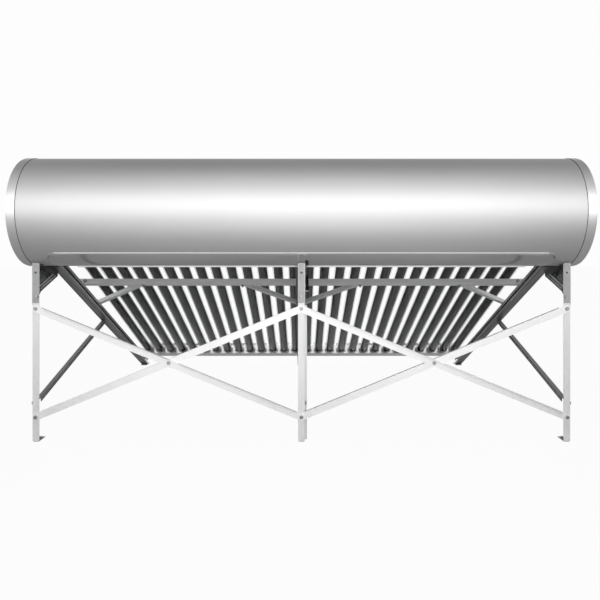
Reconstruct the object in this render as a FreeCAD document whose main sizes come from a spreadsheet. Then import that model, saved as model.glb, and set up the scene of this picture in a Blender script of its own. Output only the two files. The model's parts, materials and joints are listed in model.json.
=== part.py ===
"""Solar water heater: a horizontal storage tank fed by a bank of sloping evacuated glass tubes.

Millimetres. X runs along the tank, Y from the rear legs towards the foot of the tubes, Z up.
The origin lies on the ground, under the centre of the whole heater.
"""
import FreeCAD, Part
import math
import os
import Sketcher
from FreeCAD import Placement, Rotation, Vector

doc = FreeCAD.newDocument("solar_water_heater")

# ---------------------------------------------------------------- driving sizes
SIZES = [
    ("fit", 0.3, "running clearance between a curved piece and its seat"),
    # storage tank
    ("tank_height", 964, "tank axis above the ground"),
    ("shell_radius", 230, "outside of the outer shell"),
    ("shell_sheet", 1.0, "outer shell sheet"),
    ("shell_margin", 54, "cap seam beyond the axis of the end tube"),
    ("shell_tuck", 26, "shell that runs on inside each cap"),
    ("cap_width", 38, "end cap along the tank"),
    ("cap_sheet", 1.5, "end cap sheet"),
    ("cap_edge", 6, "rolled edge round the cap's face"),
    ("vessel_radius", 180, "outside of the inner water vessel"),
    ("vessel_sheet", 2.0, "inner vessel sheet"),
    ("vessel_margin", 50, "foam beyond each end of the vessel"),
    ("head_depth", 30, "how far the vessel's heads bulge"),
    ("head_flat", 110, "radius of the flat middle of each head"),
    # stiffening plate under the belly of the shell
    ("plate_sheet", 1.0, "plate sheet"),
    ("plate_gap", 44, "plate end short of the side cradle's saddle"),
    ("plate_rear_angle", 49, "rear edge, degrees below the horizontal"),
    ("plate_front_angle", 48, "front edge, degrees below the horizontal"),
    ("plate_corner", 40, "rounding of the plate's corners"),
    # evacuated tubes
    ("tube_count", 28, "tubes in the bank"),
    ("tube_pitch", 80, "tube spacing"),
    ("tube_length", 1800, "tube from mouth to closed end"),
    ("tube_mouth", 110, "mouth of a tube, from the tank axis"),
    ("tube_slope", 26.8, "tubes below the horizontal, degrees"),
    ("glass_radius", 29, "outer glass tube, outside"),
    ("glass_wall", 1.8, "outer glass tube wall"),
    ("absorber_radius", 23.5, "coated inner tube, outside"),
    ("absorber_end_gap", 14, "vacuum gap between the two closed ends"),
    ("neck_ring", 8, "fused glass neck that joins both tubes at the mouth"),
    ("ring_height", 12, "rubber dust ring along the tube"),
    ("ring_wall", 7, "rubber dust ring base width"),
    # cups and tail tray
    ("cup_floor", 12, "cup below the tube's end"),
    ("cup_depth", 10, "cup wall round the tube's end"),
    ("cup_wall", 4, "cup wall at its foot"),
    ("tray_half", 44, "half width of the tray's web"),
    ("tray_sheet", 2.0, "tray sheet"),
    ("tray_flange", 58, "lower flange"),
    ("tray_lip", 12, "return lip of the lower flange"),
    ("tray_top_flange", 20, "upper flange"),
    ("tray_margin", 35, "tray end beyond the axis of the end tube"),
    ("seat_length", 36, "tray seat along the rail"),
    # frame
    ("frame_inset", 10, "outer face of a side frame short of the cap seam"),
    ("centre_face", 14, "outer face of the centre frame from the middle"),
    ("rail_size", 40, "slotted rail, each way"),
    ("rail_sheet", 2.0, "rail sheet"),
    ("rail_lip", 15, "rail lips beside the slot"),
    ("rail_slope", 24.9, "rails below the horizontal, degrees"),
    ("rail_drop", 168.3, "rail underside square below the tank axis"),
    ("rail_clear", 6, "rail top end clear of the tank"),
    ("leg_back", 88, "rear face of the legs behind the tank axis"),
    ("leg_width", 28, "leg channel web"),
    ("leg_depth", 25, "leg channel flanges"),
    ("leg_sheet", 2.0, "leg sheet"),
    ("leg_rim", 9.6, "out-turned rim of the centre leg"),
    ("leg_bite", 14, "leg top above the underside of the tank"),
    ("leg_clear", 5, "cut-back of the leg top under the tank"),
    ("head_width", 24.7, "leg head plate"),
    ("head_length", 168, "leg head plate down from the leg top"),
    ("head_sheet", 2.5, "leg head plate sheet"),
    ("head_hole_drop", 41, "spare hole below the leg top"),
    ("head_hole_radius", 4.5, "spare hole in the leg head"),
    ("head_corner", 5, "rounded top corners of the leg head"),
    # cradles
    ("cradle_sheet", 2.5, "pressed gusset sheet"),
    ("cradle_front", 180, "front edge from the tank axis"),
    ("cradle_foot_drop", 392, "lowest edge below the tank axis"),
    ("cradle_knee_back", 4, "inner corner behind the tank axis"),
    ("cradle_knee_drop", 341, "inner corner below the tank axis"),
    ("cradle_nose_drop", 282, "lower front corner below the tank axis"),
    ("cradle_saddle", 30, "saddle flange width"),
    ("cradle_rib", 18, "stiffening flange along the lower edge"),
    ("slot_forward", 24, "pressed panel centre in front of the axis"),
    ("slot_drop", 280, "pressed panel centre below the tank axis"),
    ("slot_length", 100, "pressed panel of the gusset"),
    ("slot_width", 38, "pressed panel of the gusset"),
    ("slot_tilt", 18, "pressed panel, degrees"),
    ("slot_depth", 1.2, "pressed panel below the gusset's inner face"),
    # rear X braces and side braces
    ("brace_face", 29, "X brace face"),
    ("brace_flange", 16, "X brace flange"),
    ("brace_sheet", 2.0, "X brace sheet"),
    ("brace_drop", 192, "upper brace bolts below the leg top"),
    ("brace_low", 103, "lower brace bolts above the ground"),
    ("brace_end", 9, "brace beyond its bolt"),
    ("brace_trim", 26, "flange cut back from the bolt"),
    ("stay_size", 18, "side stay channel, each way"),
    ("stay_low", 160, "side stay on the leg, above the ground"),
    ("stay_tail", 6, "side stay beyond its bolt on the leg"),
    ("stay_tab", 36, "side stay's bent end under the rail"),
    ("stay_forward", 796, "side stay meets the rail, in front of the axis"),
    # cross bar and corner struts on the rails
    ("bar_face", 28, "cross bar upright"),
    ("bar_foot", 25, "cross bar flat leg"),
    ("bar_sheet", 2.0, "cross bar sheet"),
    ("bar_forward", 406, "cross bar in front of the tank axis"),
    ("strut_width", 20, "corner strut"),
    ("strut_sheet", 2.0, "corner strut sheet"),
    ("strut_rise", 20, "upright edge of a corner strut"),
    ("strut_forward", 679, "strut on the rail, in front of the tank axis"),
    ("strut_side_run", 314, "outer struts' reach along the cross bar, from the side rail's middle"),
    ("strut_mid_run", 294, "inner struts' reach along the cross bar, from the middle"),
    ("strut_end", 9, "strut beyond its bolt"),
    ("strut_lap", 8, "strut bolt from the free edge of the cross bar's flat leg"),
    ("strut_split", 14, "inner strut bolts either side of the centre rail's middle"),
    ("washer_radius", 9, "spacer washer"),
    ("bolt_hole", 4.5, "hole for an M8 bolt"),
    # feet
    ("foot_sheet", 3.0, "foot plate"),
    ("foot_length", 66, "rear foot plate along Y"),
    ("foot_tab", 45, "rear foot tab inside the leg"),
    ("foot_hole_radius", 5.5, "anchor hole"),
    ("foot_hole_ahead", 43, "rear anchor hole in front of the leg's rear face"),
    ("toe_length", 90, "front foot plate along Y"),
    ("toe_back", 30, "front foot plate behind the rail's toe"),
    ("toe_hole_ahead", 40, "front anchor hole ahead of the rail's toe"),
    # water stubs on the end caps
    ("stub_radius", 13.2, "3/4 inch stub, outside"),
    ("stub_bore", 9.5, "3/4 inch stub, bore"),
    ("stub_reach", 42, "stub beyond the cap"),
    ("stub_shoulder", 4, "thicker pipe that shows outside the cap"),
    ("stub_step", 1.5, "pipe thicker than the thread"),
    ("port_height", 120, "upper and lower stubs from the tank axis"),
    ("vent_radius", 10.6, "1/2 inch vent stub, outside"),
    ("vent_bore", 7.5, "1/2 inch vent stub, bore"),
    ("plug_radius", 24, "heater plug flange"),
    ("plug_hex", 19, "heater plug hexagon, centre to corner"),
    ("rod_radius", 8, "heater rod and sensor pocket"),
    ("heater_length", 420, "heater rod inside the vessel"),
    ("sensor_length", 160, "sensor pocket inside the vessel"),
]

dim = doc.addObject("Spreadsheet::Sheet", "dim")
for row, (name, value, note) in enumerate(SIZES, 1):
    dim.set(f"A{row}", name)
    dim.set(f"B{row}", str(value))
    dim.set(f"C{row}", note)
    dim.setAlias(f"B{row}", name)
doc.recompute()


def formula(text):
    """The expression with every sheet alias written as dim.alias."""
    words = "".join(c if c.isalnum() or c == "_" else " " for c in text).split()
    aliases = {name for name, _, _ in SIZES}
    out = text
    for word in sorted({w for w in words if w in aliases}, key=len, reverse=True):
        out = replace_word(out, word)
    return out


def replace_word(text, word):
    """Put dim. before each whole-word use of one alias."""
    pieces = text.split(word)
    out = pieces[0]
    for before, after in zip(pieces, pieces[1:]):
        whole = not before[-1:].isalnum() and before[-1:] not in ("_", ".")
        whole = whole and not after[:1].isalnum() and after[:1] != "_"
        out += ("dim." + word if whole else word) + after
    return out


def value(text):
    """A formula of the sheet's sizes, worked out as a number."""
    return float(dim.evalExpression(formula(text).replace("dim.", "")))


# ---------------------------------------------------------------- shared formulas
SPAN_HALF = "(tube_pitch * (tube_count - 1) / 2)"
SHELL_HALF = f"({SPAN_HALF} + shell_margin)"
FRAME_HALF = f"({SHELL_HALF} - frame_inset)"
PLATE_HALF = f"({FRAME_HALF} - cradle_saddle - plate_gap)"
LEG_TOP = "(tank_height - shell_radius + leg_bite)"
BRACE_HIGH = f"({LEG_TOP} - brace_drop)"
CAP_RADIUS = "(shell_radius + fit + cap_sheet)"
TRAY_WEB = "(tube_mouth + tube_length + fit + cup_floor)"
FRONT_REACH = f"(({TRAY_WEB} + tray_sheet) * cos(tube_slope) + tray_half * sin(tube_slope))"
AXIS_Y = f"(({CAP_RADIUS} - {FRONT_REACH}) / 2)"
CAP_FACE = f"({SHELL_HALF} + cap_width)"
PLATE_OUTER = "(shell_radius + fit + plate_sheet)"
FOAM_RADIUS = "(shell_radius - shell_sheet - fit)"
FOAM_HALF = f"({CAP_FACE} - cap_sheet - fit)"
VESSEL_HALF = f"({FOAM_HALF} - vessel_margin)"
RAIL_TOE = "((tank_height * cos(rail_slope) - rail_drop) / sin(rail_slope))"
AXIS_ALONG = f"({RAIL_TOE} * cos(rail_slope) + tank_height * sin(rail_slope))"
RAIL_START = "(foot_sheet / sin(rail_slope))"
SAG = f"({PLATE_OUTER} + rail_clear)"
RAIL_BELOW = "(rail_drop - rail_size)"
RAIL_END = f"({AXIS_ALONG} - sqrt({SAG} * {SAG} - {RAIL_BELOW} * {RAIL_BELOW}))"

axis_y = value(AXIS_Y)
tank_height = value("tank_height")
rail_slope = value("rail_slope")
toe_y = axis_y + value(RAIL_TOE)
leg_back_y = axis_y - value("leg_back")


# ---------------------------------------------------------------- modelling helpers
def new_body(label, base=(0, 0, 0), rotation=None):
    """An empty body with its label and its placement in the heater's frame."""
    body = doc.addObject("PartDesign::Body", label)
    body.Label = label
    body.Placement = Placement(Vector(*base), rotation or Rotation())
    return body


def origin_feature(body, role):
    return next(o for o in body.Origin.OriginFeatures if o.Role == role)


def new_sketch(body, role, lift=None, turn=None):
    """A sketch on one of the body's own planes, lifted off it or turned about its x axis."""
    sketch = body.newObject("Sketcher::SketchObject", body.Label + "_sketch")
    sketch.AttachmentSupport = (origin_feature(body, role), [""])
    sketch.MapMode = "FlatFace"
    if turn:
        sketch.AttachmentOffset = Placement(Vector(), Rotation(Vector(1, 0, 0), value(turn)))
        sketch.setExpression("AttachmentOffset.Rotation.Angle", formula(turn))
    if lift:
        sketch.AttachmentOffset = Placement(Vector(0, 0, value(lift)), sketch.AttachmentOffset.Rotation)
        sketch.setExpression("AttachmentOffset.Base.z", formula(lift))
    return sketch


def bind(sketch, kind, ids, text):
    """Add one dimension to a sketch and tie it to a formula."""
    index = sketch.addConstraint(Sketcher.Constraint(kind, *ids, value(text)))
    sketch.setExpression(f"Constraints[{index}]", formula(text))


def outline(sketch, points):
    """A closed outline of straight edges, each corner placed by two formulas."""
    first = sketch.GeometryCount
    count = len(points)
    spots = [Vector(value(x), value(y), 0) for x, y in points]
    for i in range(count):
        sketch.addGeometry(Part.LineSegment(spots[i], spots[(i + 1) % count]), False)
    for i in range(count):
        following = first + (i + 1) % count
        sketch.addConstraint(Sketcher.Constraint("Coincident", first + i, 2, following, 1))
    for i, (x, y) in enumerate(points):
        bind(sketch, "DistanceX", (-1, 1, first + i, 1), x)
        bind(sketch, "DistanceY", (-1, 1, first + i, 1), y)
    return sketch


def circle(sketch, x, y, radius):
    """A full circle placed by two formulas."""
    centre = Vector(value(x), value(y), 0)
    index = sketch.addGeometry(Part.Circle(centre, Vector(0, 0, 1), value(radius)), False)
    bind(sketch, "DistanceX", (-1, 1, index, 3), x)
    bind(sketch, "DistanceY", (-1, 1, index, 3), y)
    bind(sketch, "Radius", (index,), radius)
    return sketch


def rounded_box(sketch, half_x, half_y, radius):
    """A rectangle with round corners about the sketch's origin."""
    first = sketch.GeometryCount
    x, y, r = value(half_x), value(half_y), value(radius)
    for i, (sx, sy) in enumerate(((1, 1), (-1, 1), (-1, -1), (1, -1))):
        ring = Part.Circle(Vector(sx * (x - r), sy * (y - r), 0), Vector(0, 0, 1), r)
        start = i * math.pi / 2
        sketch.addGeometry(Part.ArcOfCircle(ring, start, start + math.pi / 2), False)
    for i in range(4):
        this_end = sketch.getPoint(first + i, 2)
        next_start = sketch.getPoint(first + (i + 1) % 4, 1)
        sketch.addGeometry(Part.LineSegment(this_end, next_start), False)
    for i in range(4):
        edge, following = first + 4 + i, first + (i + 1) % 4
        sketch.addConstraint(Sketcher.Constraint("Tangent", first + i, 2, edge, 1))
        sketch.addConstraint(Sketcher.Constraint("Tangent", edge, 2, following, 1))
    for i, (sx, sy) in enumerate((("", ""), ("-", ""), ("-", "-"), ("", "-"))):
        bind(sketch, "DistanceX", (-1, 1, first + i, 3), f"{sx}({half_x} - {radius})")
        bind(sketch, "DistanceY", (-1, 1, first + i, 3), f"{sy}({half_y} - {radius})")
    for i in range(1, 4):
        sketch.addConstraint(Sketcher.Constraint("Equal", first, first + i))
    bind(sketch, "Radius", (first,), radius)
    return sketch


def pad(body, sketch, length, midplane=False, reverse=False):
    """A straight pad, one way or both ways from its sketch."""
    feature = body.newObject("PartDesign::Pad", body.Label + "_pad")
    feature.Profile = sketch
    feature.setExpression("Length", formula(length))
    feature.SideType = "Symmetric" if midplane else "One side"
    feature.Reversed = reverse
    return feature


def cut(body, sketch, length, midplane=False, reverse=False):
    """A straight pocket; the volume must drop."""
    before = volume(body)
    feature = body.newObject("PartDesign::Pocket", body.Label + "_cut")
    feature.Profile = sketch
    feature.setExpression("Length", formula(length))
    feature.SideType = "Symmetric" if midplane else "One side"
    feature.Reversed = reverse
    check_cut(body, feature, before)
    return feature


def volume(body):
    doc.recompute()
    return body.Shape.Volume


def check_cut(body, feature, before):
    """Stop when a cut has removed nothing."""
    body.Tip = feature
    if volume(body) >= before - 1e-6:
        raise RuntimeError(f"{feature.Label} removes nothing")


def spin(body, sketch, axis, angle="360", groove=False):
    """A revolution or a groove about one axis of its sketch."""
    before = volume(body) if groove else 0
    kind = "PartDesign::Groove" if groove else "PartDesign::Revolution"
    feature = body.newObject(kind, body.Label + "_spin")
    feature.Profile = sketch
    feature.ReferenceAxis = (sketch, [axis])
    feature.setExpression("Angle", formula(angle))
    if groove:
        check_cut(body, feature, before)
    return feature


def row_of(body, feature, pitch, count):
    """Repeat one feature along X."""
    pattern = body.newObject("PartDesign::LinearPattern", body.Label + "_row")
    pattern.Originals = [feature]
    pattern.Direction = (origin_feature(body, "X_Axis"), [""])
    pattern.Mode = "Spacing"
    pattern.setExpression("Offset", formula(pitch))
    pattern.setExpression("Occurrences", formula(count))
    body.Tip = pattern
    return pattern


def trim_edges(body, feature, size, chosen, kind="Fillet"):
    """Round or bevel the edges that the test chooses."""
    doc.recompute()
    names = [f"Edge{i}" for i, edge in enumerate(feature.Shape.Edges, 1) if chosen(edge)]
    trim = body.newObject("PartDesign::" + kind, body.Label + "_trim")
    trim.Base = (feature, names)
    trim.setExpression("Radius" if kind == "Fillet" else "Size", formula(size))
    body.Tip = trim
    return trim


def box_outline(x0, y0, x1, y1):
    return [(x0, y0), (x1, y0), (x1, y1), (x0, y1)]


def middle(edge):
    return edge.CenterOfMass


# ---------------------------------------------------------------- storage tank
TANK_BASE = (0, axis_y, tank_height)
TUBE_TURN = "90 + tube_slope"
PLATE_TURN = "90 + plate_rear_angle"
PLATE_ARC = "180 - plate_rear_angle - plate_front_angle"


def tube_holes(body, radius):
    """A row of round holes along the tubes' direction, on the tube side only."""
    sketch = new_sketch(body, "XY_Plane", turn="-(" + TUBE_TURN + ")")
    circle(sketch, "-" + SPAN_HALF, "0", radius)
    hole = cut(body, sketch, "shell_radius * 2", reverse=True)
    row_of(body, hole, "tube_pitch", "tube_count")


def end_holes(body, side, spots, depth):
    """Round holes through one end, each a (height, radius) pair."""
    sketch = new_sketch(body, "YZ_Plane")
    for height, radius in spots:
        circle(sketch, "0", height, radius)
    cut(body, sketch, depth, reverse=side > 0)


# height above the tank axis and outside radius of what passes each end
STUB_PIPE = "(stub_radius + stub_step)"
VENT_PIPE = "(vent_radius + stub_step)"
LEFT_PORTS = [("-port_height", STUB_PIPE), ("port_height", VENT_PIPE), ("0", "rod_radius")]
RIGHT_PORTS = [("port_height", STUB_PIPE), ("-port_height", "rod_radius")]


def holes_for(ports):
    return [(height, f"({radius} + fit)") for height, radius in ports]


def outer_shell():
    """Thin rolled cylinder with one hole for each tube."""
    body = new_body("outer_shell", TANK_BASE)
    half = f"({SHELL_HALF} + shell_tuck)"
    ring = box_outline("-" + half, "shell_radius - shell_sheet", half, "shell_radius")
    body.Tip = spin(body, outline(new_sketch(body, "XZ_Plane"), ring), "H_Axis")
    tube_holes(body, "glass_radius + fit")
    return body


def belly_plate():
    """Rolled plate under the shell, between the side cradles, with rounded corners."""
    body = new_body("belly_plate", TANK_BASE)
    strip = box_outline("-" + PLATE_HALF, "shell_radius + fit", PLATE_HALF, PLATE_OUTER)
    sketch = outline(new_sketch(body, "XZ_Plane", turn=PLATE_TURN), strip)
    body.Tip = spin(body, sketch, "H_Axis", PLATE_ARC)
    rim = new_sketch(body, "XY_Plane", turn=f"{PLATE_TURN} + ({PLATE_ARC}) / 2")
    outline(rim, box_outline("-" + CAP_FACE, "-shell_radius", CAP_FACE, "shell_radius"))
    rounded_box(rim, PLATE_HALF, f"(shell_radius * sin(({PLATE_ARC}) / 2))", "plate_corner")
    cut(body, rim, "shell_radius * 2", reverse=True)
    return body


def vessel_profile(grow):
    """Half section of the water vessel's outside, grown outwards by a clearance."""
    half = f"({VESSEL_HALF} + {grow})"
    radius = f"(vessel_radius + {grow})"
    shoulder = f"({half} - head_depth)"
    return half, radius, shoulder


def cavity_points(half, radius, shoulder, sign_order):
    """The half section from one end of the axis to the other, over the vessel."""
    right = [(half, "0"), (half, "head_flat"), (shoulder, radius)]
    left = [("-" + shoulder, radius), ("-" + half, "head_flat"), ("-" + half, "0")]
    points = right + left
    return points if sign_order > 0 else points[::-1]


def inner_vessel():
    """Welded water vessel: a drum with two bulged heads."""
    body = new_body("inner_vessel", TANK_BASE)
    outside = vessel_profile("0")
    inside = vessel_profile("-vessel_sheet")
    points = cavity_points(*outside, 1) + cavity_points(*inside, -1)
    drum = spin(body, outline(new_sketch(body, "XZ_Plane"), points), "H_Axis")
    body.Tip = drum
    end_holes(body, -1, holes_for(LEFT_PORTS), CAP_FACE)
    end_holes(body, 1, holes_for(RIGHT_PORTS), CAP_FACE)
    tube_holes(body, "glass_radius + fit")
    return body


def insulation_foam():
    """Foam that fills the space between vessel and shell, open along the row of tubes."""
    body = new_body("insulation_foam", TANK_BASE)
    outside = [(FOAM_HALF, "0"), (FOAM_HALF, FOAM_RADIUS)]
    outside += [("-" + FOAM_HALF, FOAM_RADIUS), ("-" + FOAM_HALF, "0")]
    points = outside + cavity_points(*vessel_profile("fit"), -1)
    filling = spin(body, outline(new_sketch(body, "XZ_Plane"), points), "H_Axis")
    body.Tip = filling
    end_holes(body, -1, holes_for(LEFT_PORTS), CAP_FACE)
    end_holes(body, 1, holes_for(RIGHT_PORTS), CAP_FACE)
    sketch = new_sketch(body, "XY_Plane", turn="-(" + TUBE_TURN + ")")
    reach = f"({SPAN_HALF} + glass_radius + fit)"
    outline(sketch, box_outline("-" + reach, "-(glass_radius + fit)", reach, "glass_radius + fit"))
    cut(body, sketch, "shell_radius * 2", reverse=True)
    return body


def end_cap(label, side, ports):
    """Pressed lid that slips over one end of the shell."""
    turn = Rotation(Vector(0, 0, 1), 0 if side > 0 else 180)
    body = new_body(label, (side * value(SHELL_HALF), axis_y, tank_height), turn)
    wall = "(shell_radius + fit)"
    floor = "(cap_width - cap_sheet)"
    points = [("0", wall), (floor, wall), (floor, "0"), ("cap_width", "0")]
    points += [("cap_width", CAP_RADIUS), ("0", CAP_RADIUS)]
    lid = spin(body, outline(new_sketch(body, "XZ_Plane"), points), "H_Axis")
    body.Tip = lid
    face, rim = value("cap_width"), value(CAP_RADIUS)
    trim_edges(body, lid, "cap_edge", lambda e: is_ring(e, face, rim), "Chamfer")
    end_holes(body, 1, holes_for(ports), "cap_width * 2")
    return body


def is_ring(edge, x, radius):
    """True for a full circle about the X axis at one x and radius."""
    round_edge = isinstance(edge.Curve, Part.Circle)
    return round_edge and abs(edge.Curve.Center.x - x) < 0.01 and abs(edge.Curve.Radius - radius) < 0.01


# ---------------------------------------------------------------- evacuated tubes
TUBE_ROTATION = Rotation(Vector(1, 0, 0), -value(TUBE_TURN))
TUBE_BASE = (-value(SPAN_HALF), axis_y, tank_height)


def tube_row(label, points):
    """A row of turned pieces, profiled by radius and distance from the tank axis."""
    body = new_body(label, TUBE_BASE, TUBE_ROTATION)
    piece = spin(body, outline(new_sketch(body, "XZ_Plane"), points), "V_Axis")
    row_of(body, piece, "tube_pitch", "tube_count")
    return body


def glass_tubes():
    """Outer glass tubes: open neck in the vessel, tapered closed end in the cup."""
    mouth, end = "tube_mouth", "(tube_mouth + tube_length)"
    bore = "(glass_radius - glass_wall)"
    points = [("absorber_radius", mouth), ("glass_radius", mouth), ("glass_radius", end), ("0", end)]
    points += [("0", f"{end} - glass_wall"), (bore, f"{end} - glass_wall")]
    points += [(bore, f"{mouth} + neck_ring"), ("absorber_radius", f"{mouth} + neck_ring")]
    return tube_row("glass_tubes", points)


def absorber_tubes():
    """Coated inner tubes, filled with water, that end short of the outer tubes."""
    end = "(tube_mouth + tube_length - glass_wall - absorber_end_gap)"
    return tube_row("absorber_tubes", box_outline("0", "tube_mouth", "absorber_radius", end))


def dust_rings():
    """Rubber rings that close the shell's holes round the tubes."""
    seat = "(shell_radius + fit)"
    bore = "(glass_radius + fit)"
    points = [(bore, seat), (f"{bore} + ring_wall", seat), (bore, f"{seat} + ring_height")]
    return tube_row("dust_rings", points)


def tail_cups():
    """Plastic cups that hold the tubes' closed ends."""
    end = "(tube_mouth + tube_length + fit)"
    bore = "(glass_radius + fit)"
    points = [("0", end), (bore, end), (bore, f"{end} - cup_depth")]
    points += [(f"{bore} + cup_wall", TRAY_WEB), ("0", TRAY_WEB)]
    return tube_row("tail_cups", points)


def tail_tray():
    """Folded tray across the tubes' feet, closed behind the cups."""
    body = new_body("tail_tray", TANK_BASE, TUBE_ROTATION)
    back = f"({TRAY_WEB} + tray_sheet)"
    inner = "(tray_half - tray_sheet)"
    lip = f"({TRAY_WEB} - tray_flange)"
    hood = f"({TRAY_WEB} - tray_top_flange)"
    points = [("-tray_half", back), ("tray_half", back), ("tray_half", lip), ("tray_half - tray_lip", lip)]
    points += [("tray_half - tray_lip", f"{lip} + tray_sheet"), (inner, f"{lip} + tray_sheet")]
    points += [(inner, TRAY_WEB), ("-" + inner, TRAY_WEB), ("-" + inner, hood), ("-tray_half", hood)]
    pad(body, outline(new_sketch(body, "YZ_Plane"), points), f"2 * ({SPAN_HALF} + tray_margin)", midplane=True)
    return body


# ---------------------------------------------------------------- frame
# Each frame: name, X of its outer face, and +1 or -1 for the side its plates lie on.
FRAMES = [("left", "-" + FRAME_HALF, -1), ("centre", "centre_face", 1), ("right", FRAME_HALF, 1)]
RAIL_ROTATION = Rotation(Vector(1, 0, 0), 90 - rail_slope)


def signed(side, text):
    return text if side > 0 else f"-({text})"


def side_rail(name, face, side):
    """Slotted channel rail: web on the outer side, lips beside the slot inside."""
    body = new_body(f"{name}_rail", (value(face), toe_y, 0), RAIL_ROTATION)
    deep = "rail_size - rail_sheet"
    lips = "rail_size - rail_lip"
    half = [("0", "0"), ("rail_size", "0"), ("rail_size", "rail_lip"), (deep, "rail_lip")]
    half += [(deep, "rail_sheet"), ("rail_sheet", "rail_sheet"), ("rail_sheet", deep)]
    half += [(deep, deep), (deep, lips), ("rail_size", lips), ("rail_size", "rail_size"), ("0", "rail_size")]
    points = [(signed(-side, x), y) for x, y in half]
    sketch = outline(new_sketch(body, "XY_Plane", lift=RAIL_START), points)
    pad(body, sketch, f"{RAIL_END} - {RAIL_START}")
    return body


def leg_centre(face, side):
    return f"({face} - ({side}) * leg_width / 2)"


LEFT_LEG = leg_centre("-" + FRAME_HALF, -1)
RIGHT_LEG = leg_centre(FRAME_HALF, 1)
CENTRE_LEG = leg_centre("centre_face", 1)


def rear_leg(name, face, side):
    """Upright, cut back under the tank: an angle at the sides, a rimmed channel in the middle."""
    base = (value(leg_centre(face, side)), leg_back_y, value("foot_sheet"))
    body = new_body(f"{name}_leg", base)
    half = "(leg_width / 2)"
    wall = f"({half} - leg_sheet)"
    outer, outer_wall = signed(side, half), signed(side, wall)
    inner, inner_wall = signed(-side, half), signed(-side, wall)
    points = [(inner, "0"), (outer, "0"), (outer, "leg_depth"), (outer_wall, "leg_depth"), (outer_wall, "leg_sheet")]
    if name == "centre":
        points += [(inner_wall, "leg_sheet"), (inner_wall, "leg_depth"), (inner, "leg_depth")]
    else:
        points += [(inner, "leg_sheet")]
    body.Tip = pad(body, outline(new_sketch(body, "XY_Plane"), points), f"{LEG_TOP} - foot_sheet")
    sketch = new_sketch(body, "YZ_Plane")
    circle(sketch, "leg_back", "tank_height - foot_sheet", f"{PLATE_OUTER} + leg_clear")
    cut(body, sketch, "2 * leg_width", midplane=True)
    hole_height = f"({LEG_TOP} - head_hole_drop - foot_sheet)"
    sketch = circle(new_sketch(body, "XZ_Plane"), "0", hole_height, "head_hole_radius")
    cut(body, sketch, "leg_sheet + fit")
    if name == "centre":
        rim = box_outline(half, "leg_depth - leg_sheet", f"{half} + leg_rim", "leg_depth")
        rim_top = "tank_height - cradle_foot_drop - foot_sheet - leg_sheet"
        body.Tip = pad(body, outline(new_sketch(body, "XY_Plane"), rim), rim_top)
    return body


def leg_head(name, face, side):
    """Plate on the top of the leg, with its spare bolt hole."""
    base = (value(leg_centre(face, side)), leg_back_y, 0)
    body = new_body(f"{name}_leg_head", base)
    half = "(head_width / 2)"
    foot = f"({LEG_TOP} - head_length)"
    sketch = outline(new_sketch(body, "XZ_Plane"), box_outline("-" + half, foot, half, LEG_TOP))
    circle(sketch, "0", f"{LEG_TOP} - head_hole_drop", "head_hole_radius")
    plate = pad(body, sketch, "head_sheet")
    body.Tip = plate
    top, thick = value(LEG_TOP), value("head_sheet")
    trim_edges(body, plate, "head_corner", lambda e: middle(e).z > top - 1 and abs(e.Length - thick) < 0.01)
    return body


def slot_outline(sketch, length, width):
    """A long shape with round ends about the sketch's origin."""
    reach = f"(({length} - {width}) / 2)"
    radius = f"({width} / 2)"
    far, r = value(reach), value(radius)
    up = Vector(0, 0, 1)
    quarter = math.pi / 2
    first = Part.ArcOfCircle(Part.Circle(Vector(-far, 0, 0), up, r), quarter, 3 * quarter)
    second = Part.ArcOfCircle(Part.Circle(Vector(far, 0, 0), up, r), -quarter, quarter)
    sketch.addGeometry([first, second], False)
    sketch.addGeometry(Part.LineSegment(Vector(-far, r, 0), Vector(far, r, 0)), False)
    sketch.addGeometry(Part.LineSegment(Vector(-far, -r, 0), Vector(far, -r, 0)), False)
    for joint in ((0, 1, 2, 1), (0, 2, 3, 1), (1, 2, 2, 2), (1, 1, 3, 2)):
        sketch.addConstraint(Sketcher.Constraint("Tangent", *joint))
    sketch.addConstraint(Sketcher.Constraint("Equal", 0, 1))
    sketch.addConstraint(Sketcher.Constraint("PointOnObject", 0, 3, -1))
    sketch.addConstraint(Sketcher.Constraint("PointOnObject", 1, 3, -1))
    bind(sketch, "DistanceX", (-1, 1, 1, 3), reach)
    bind(sketch, "DistanceX", (0, 3, -1, 1), reach)
    bind(sketch, "Radius", (0,), radius)


def cradle(name, face, side):
    """Pressed gusset between leg and rail, with the saddle that the tank lies in."""
    body = new_body(f"{name}_cradle", (value(face), axis_y, tank_height))
    seat = f"(({'shell_radius' if name != 'centre' else PLATE_OUTER}) + fit)"
    back = "-(leg_back - leg_sheet)"
    inset = "-(leg_back - leg_depth - cradle_sheet)"
    points = [(back, "-cradle_foot_drop"), (inset, "-cradle_foot_drop"), ("-cradle_knee_back", "-cradle_knee_drop")]
    points += [("cradle_front", "-cradle_nose_drop"), ("cradle_front", "0"), (back, "0")]
    sheet = pad(body, outline(new_sketch(body, "YZ_Plane"), points), "cradle_sheet", reverse=side < 0)
    body.Tip = sheet
    ledge(body, side)
    sketch = circle(new_sketch(body, "YZ_Plane"), "0", "0", seat)
    cut(body, sketch, "cradle_saddle * 4", midplane=True)
    saddle(body, side, seat)
    slot = new_sketch(body, "YZ_Plane")
    tilt = Rotation(Vector(0, 0, 1), value("slot_tilt"))
    slot.AttachmentOffset = Placement(Vector(value("slot_forward"), -value("slot_drop"), 0), tilt)
    slot.setExpression("AttachmentOffset.Base.x", formula("slot_forward"))
    slot.setExpression("AttachmentOffset.Base.y", formula("-slot_drop"))
    slot.setExpression("AttachmentOffset.Rotation.Angle", formula("slot_tilt"))
    slot_outline(slot, "slot_length", "slot_width")
    cut(body, slot, "slot_depth", reverse=side > 0)
    return body


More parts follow.
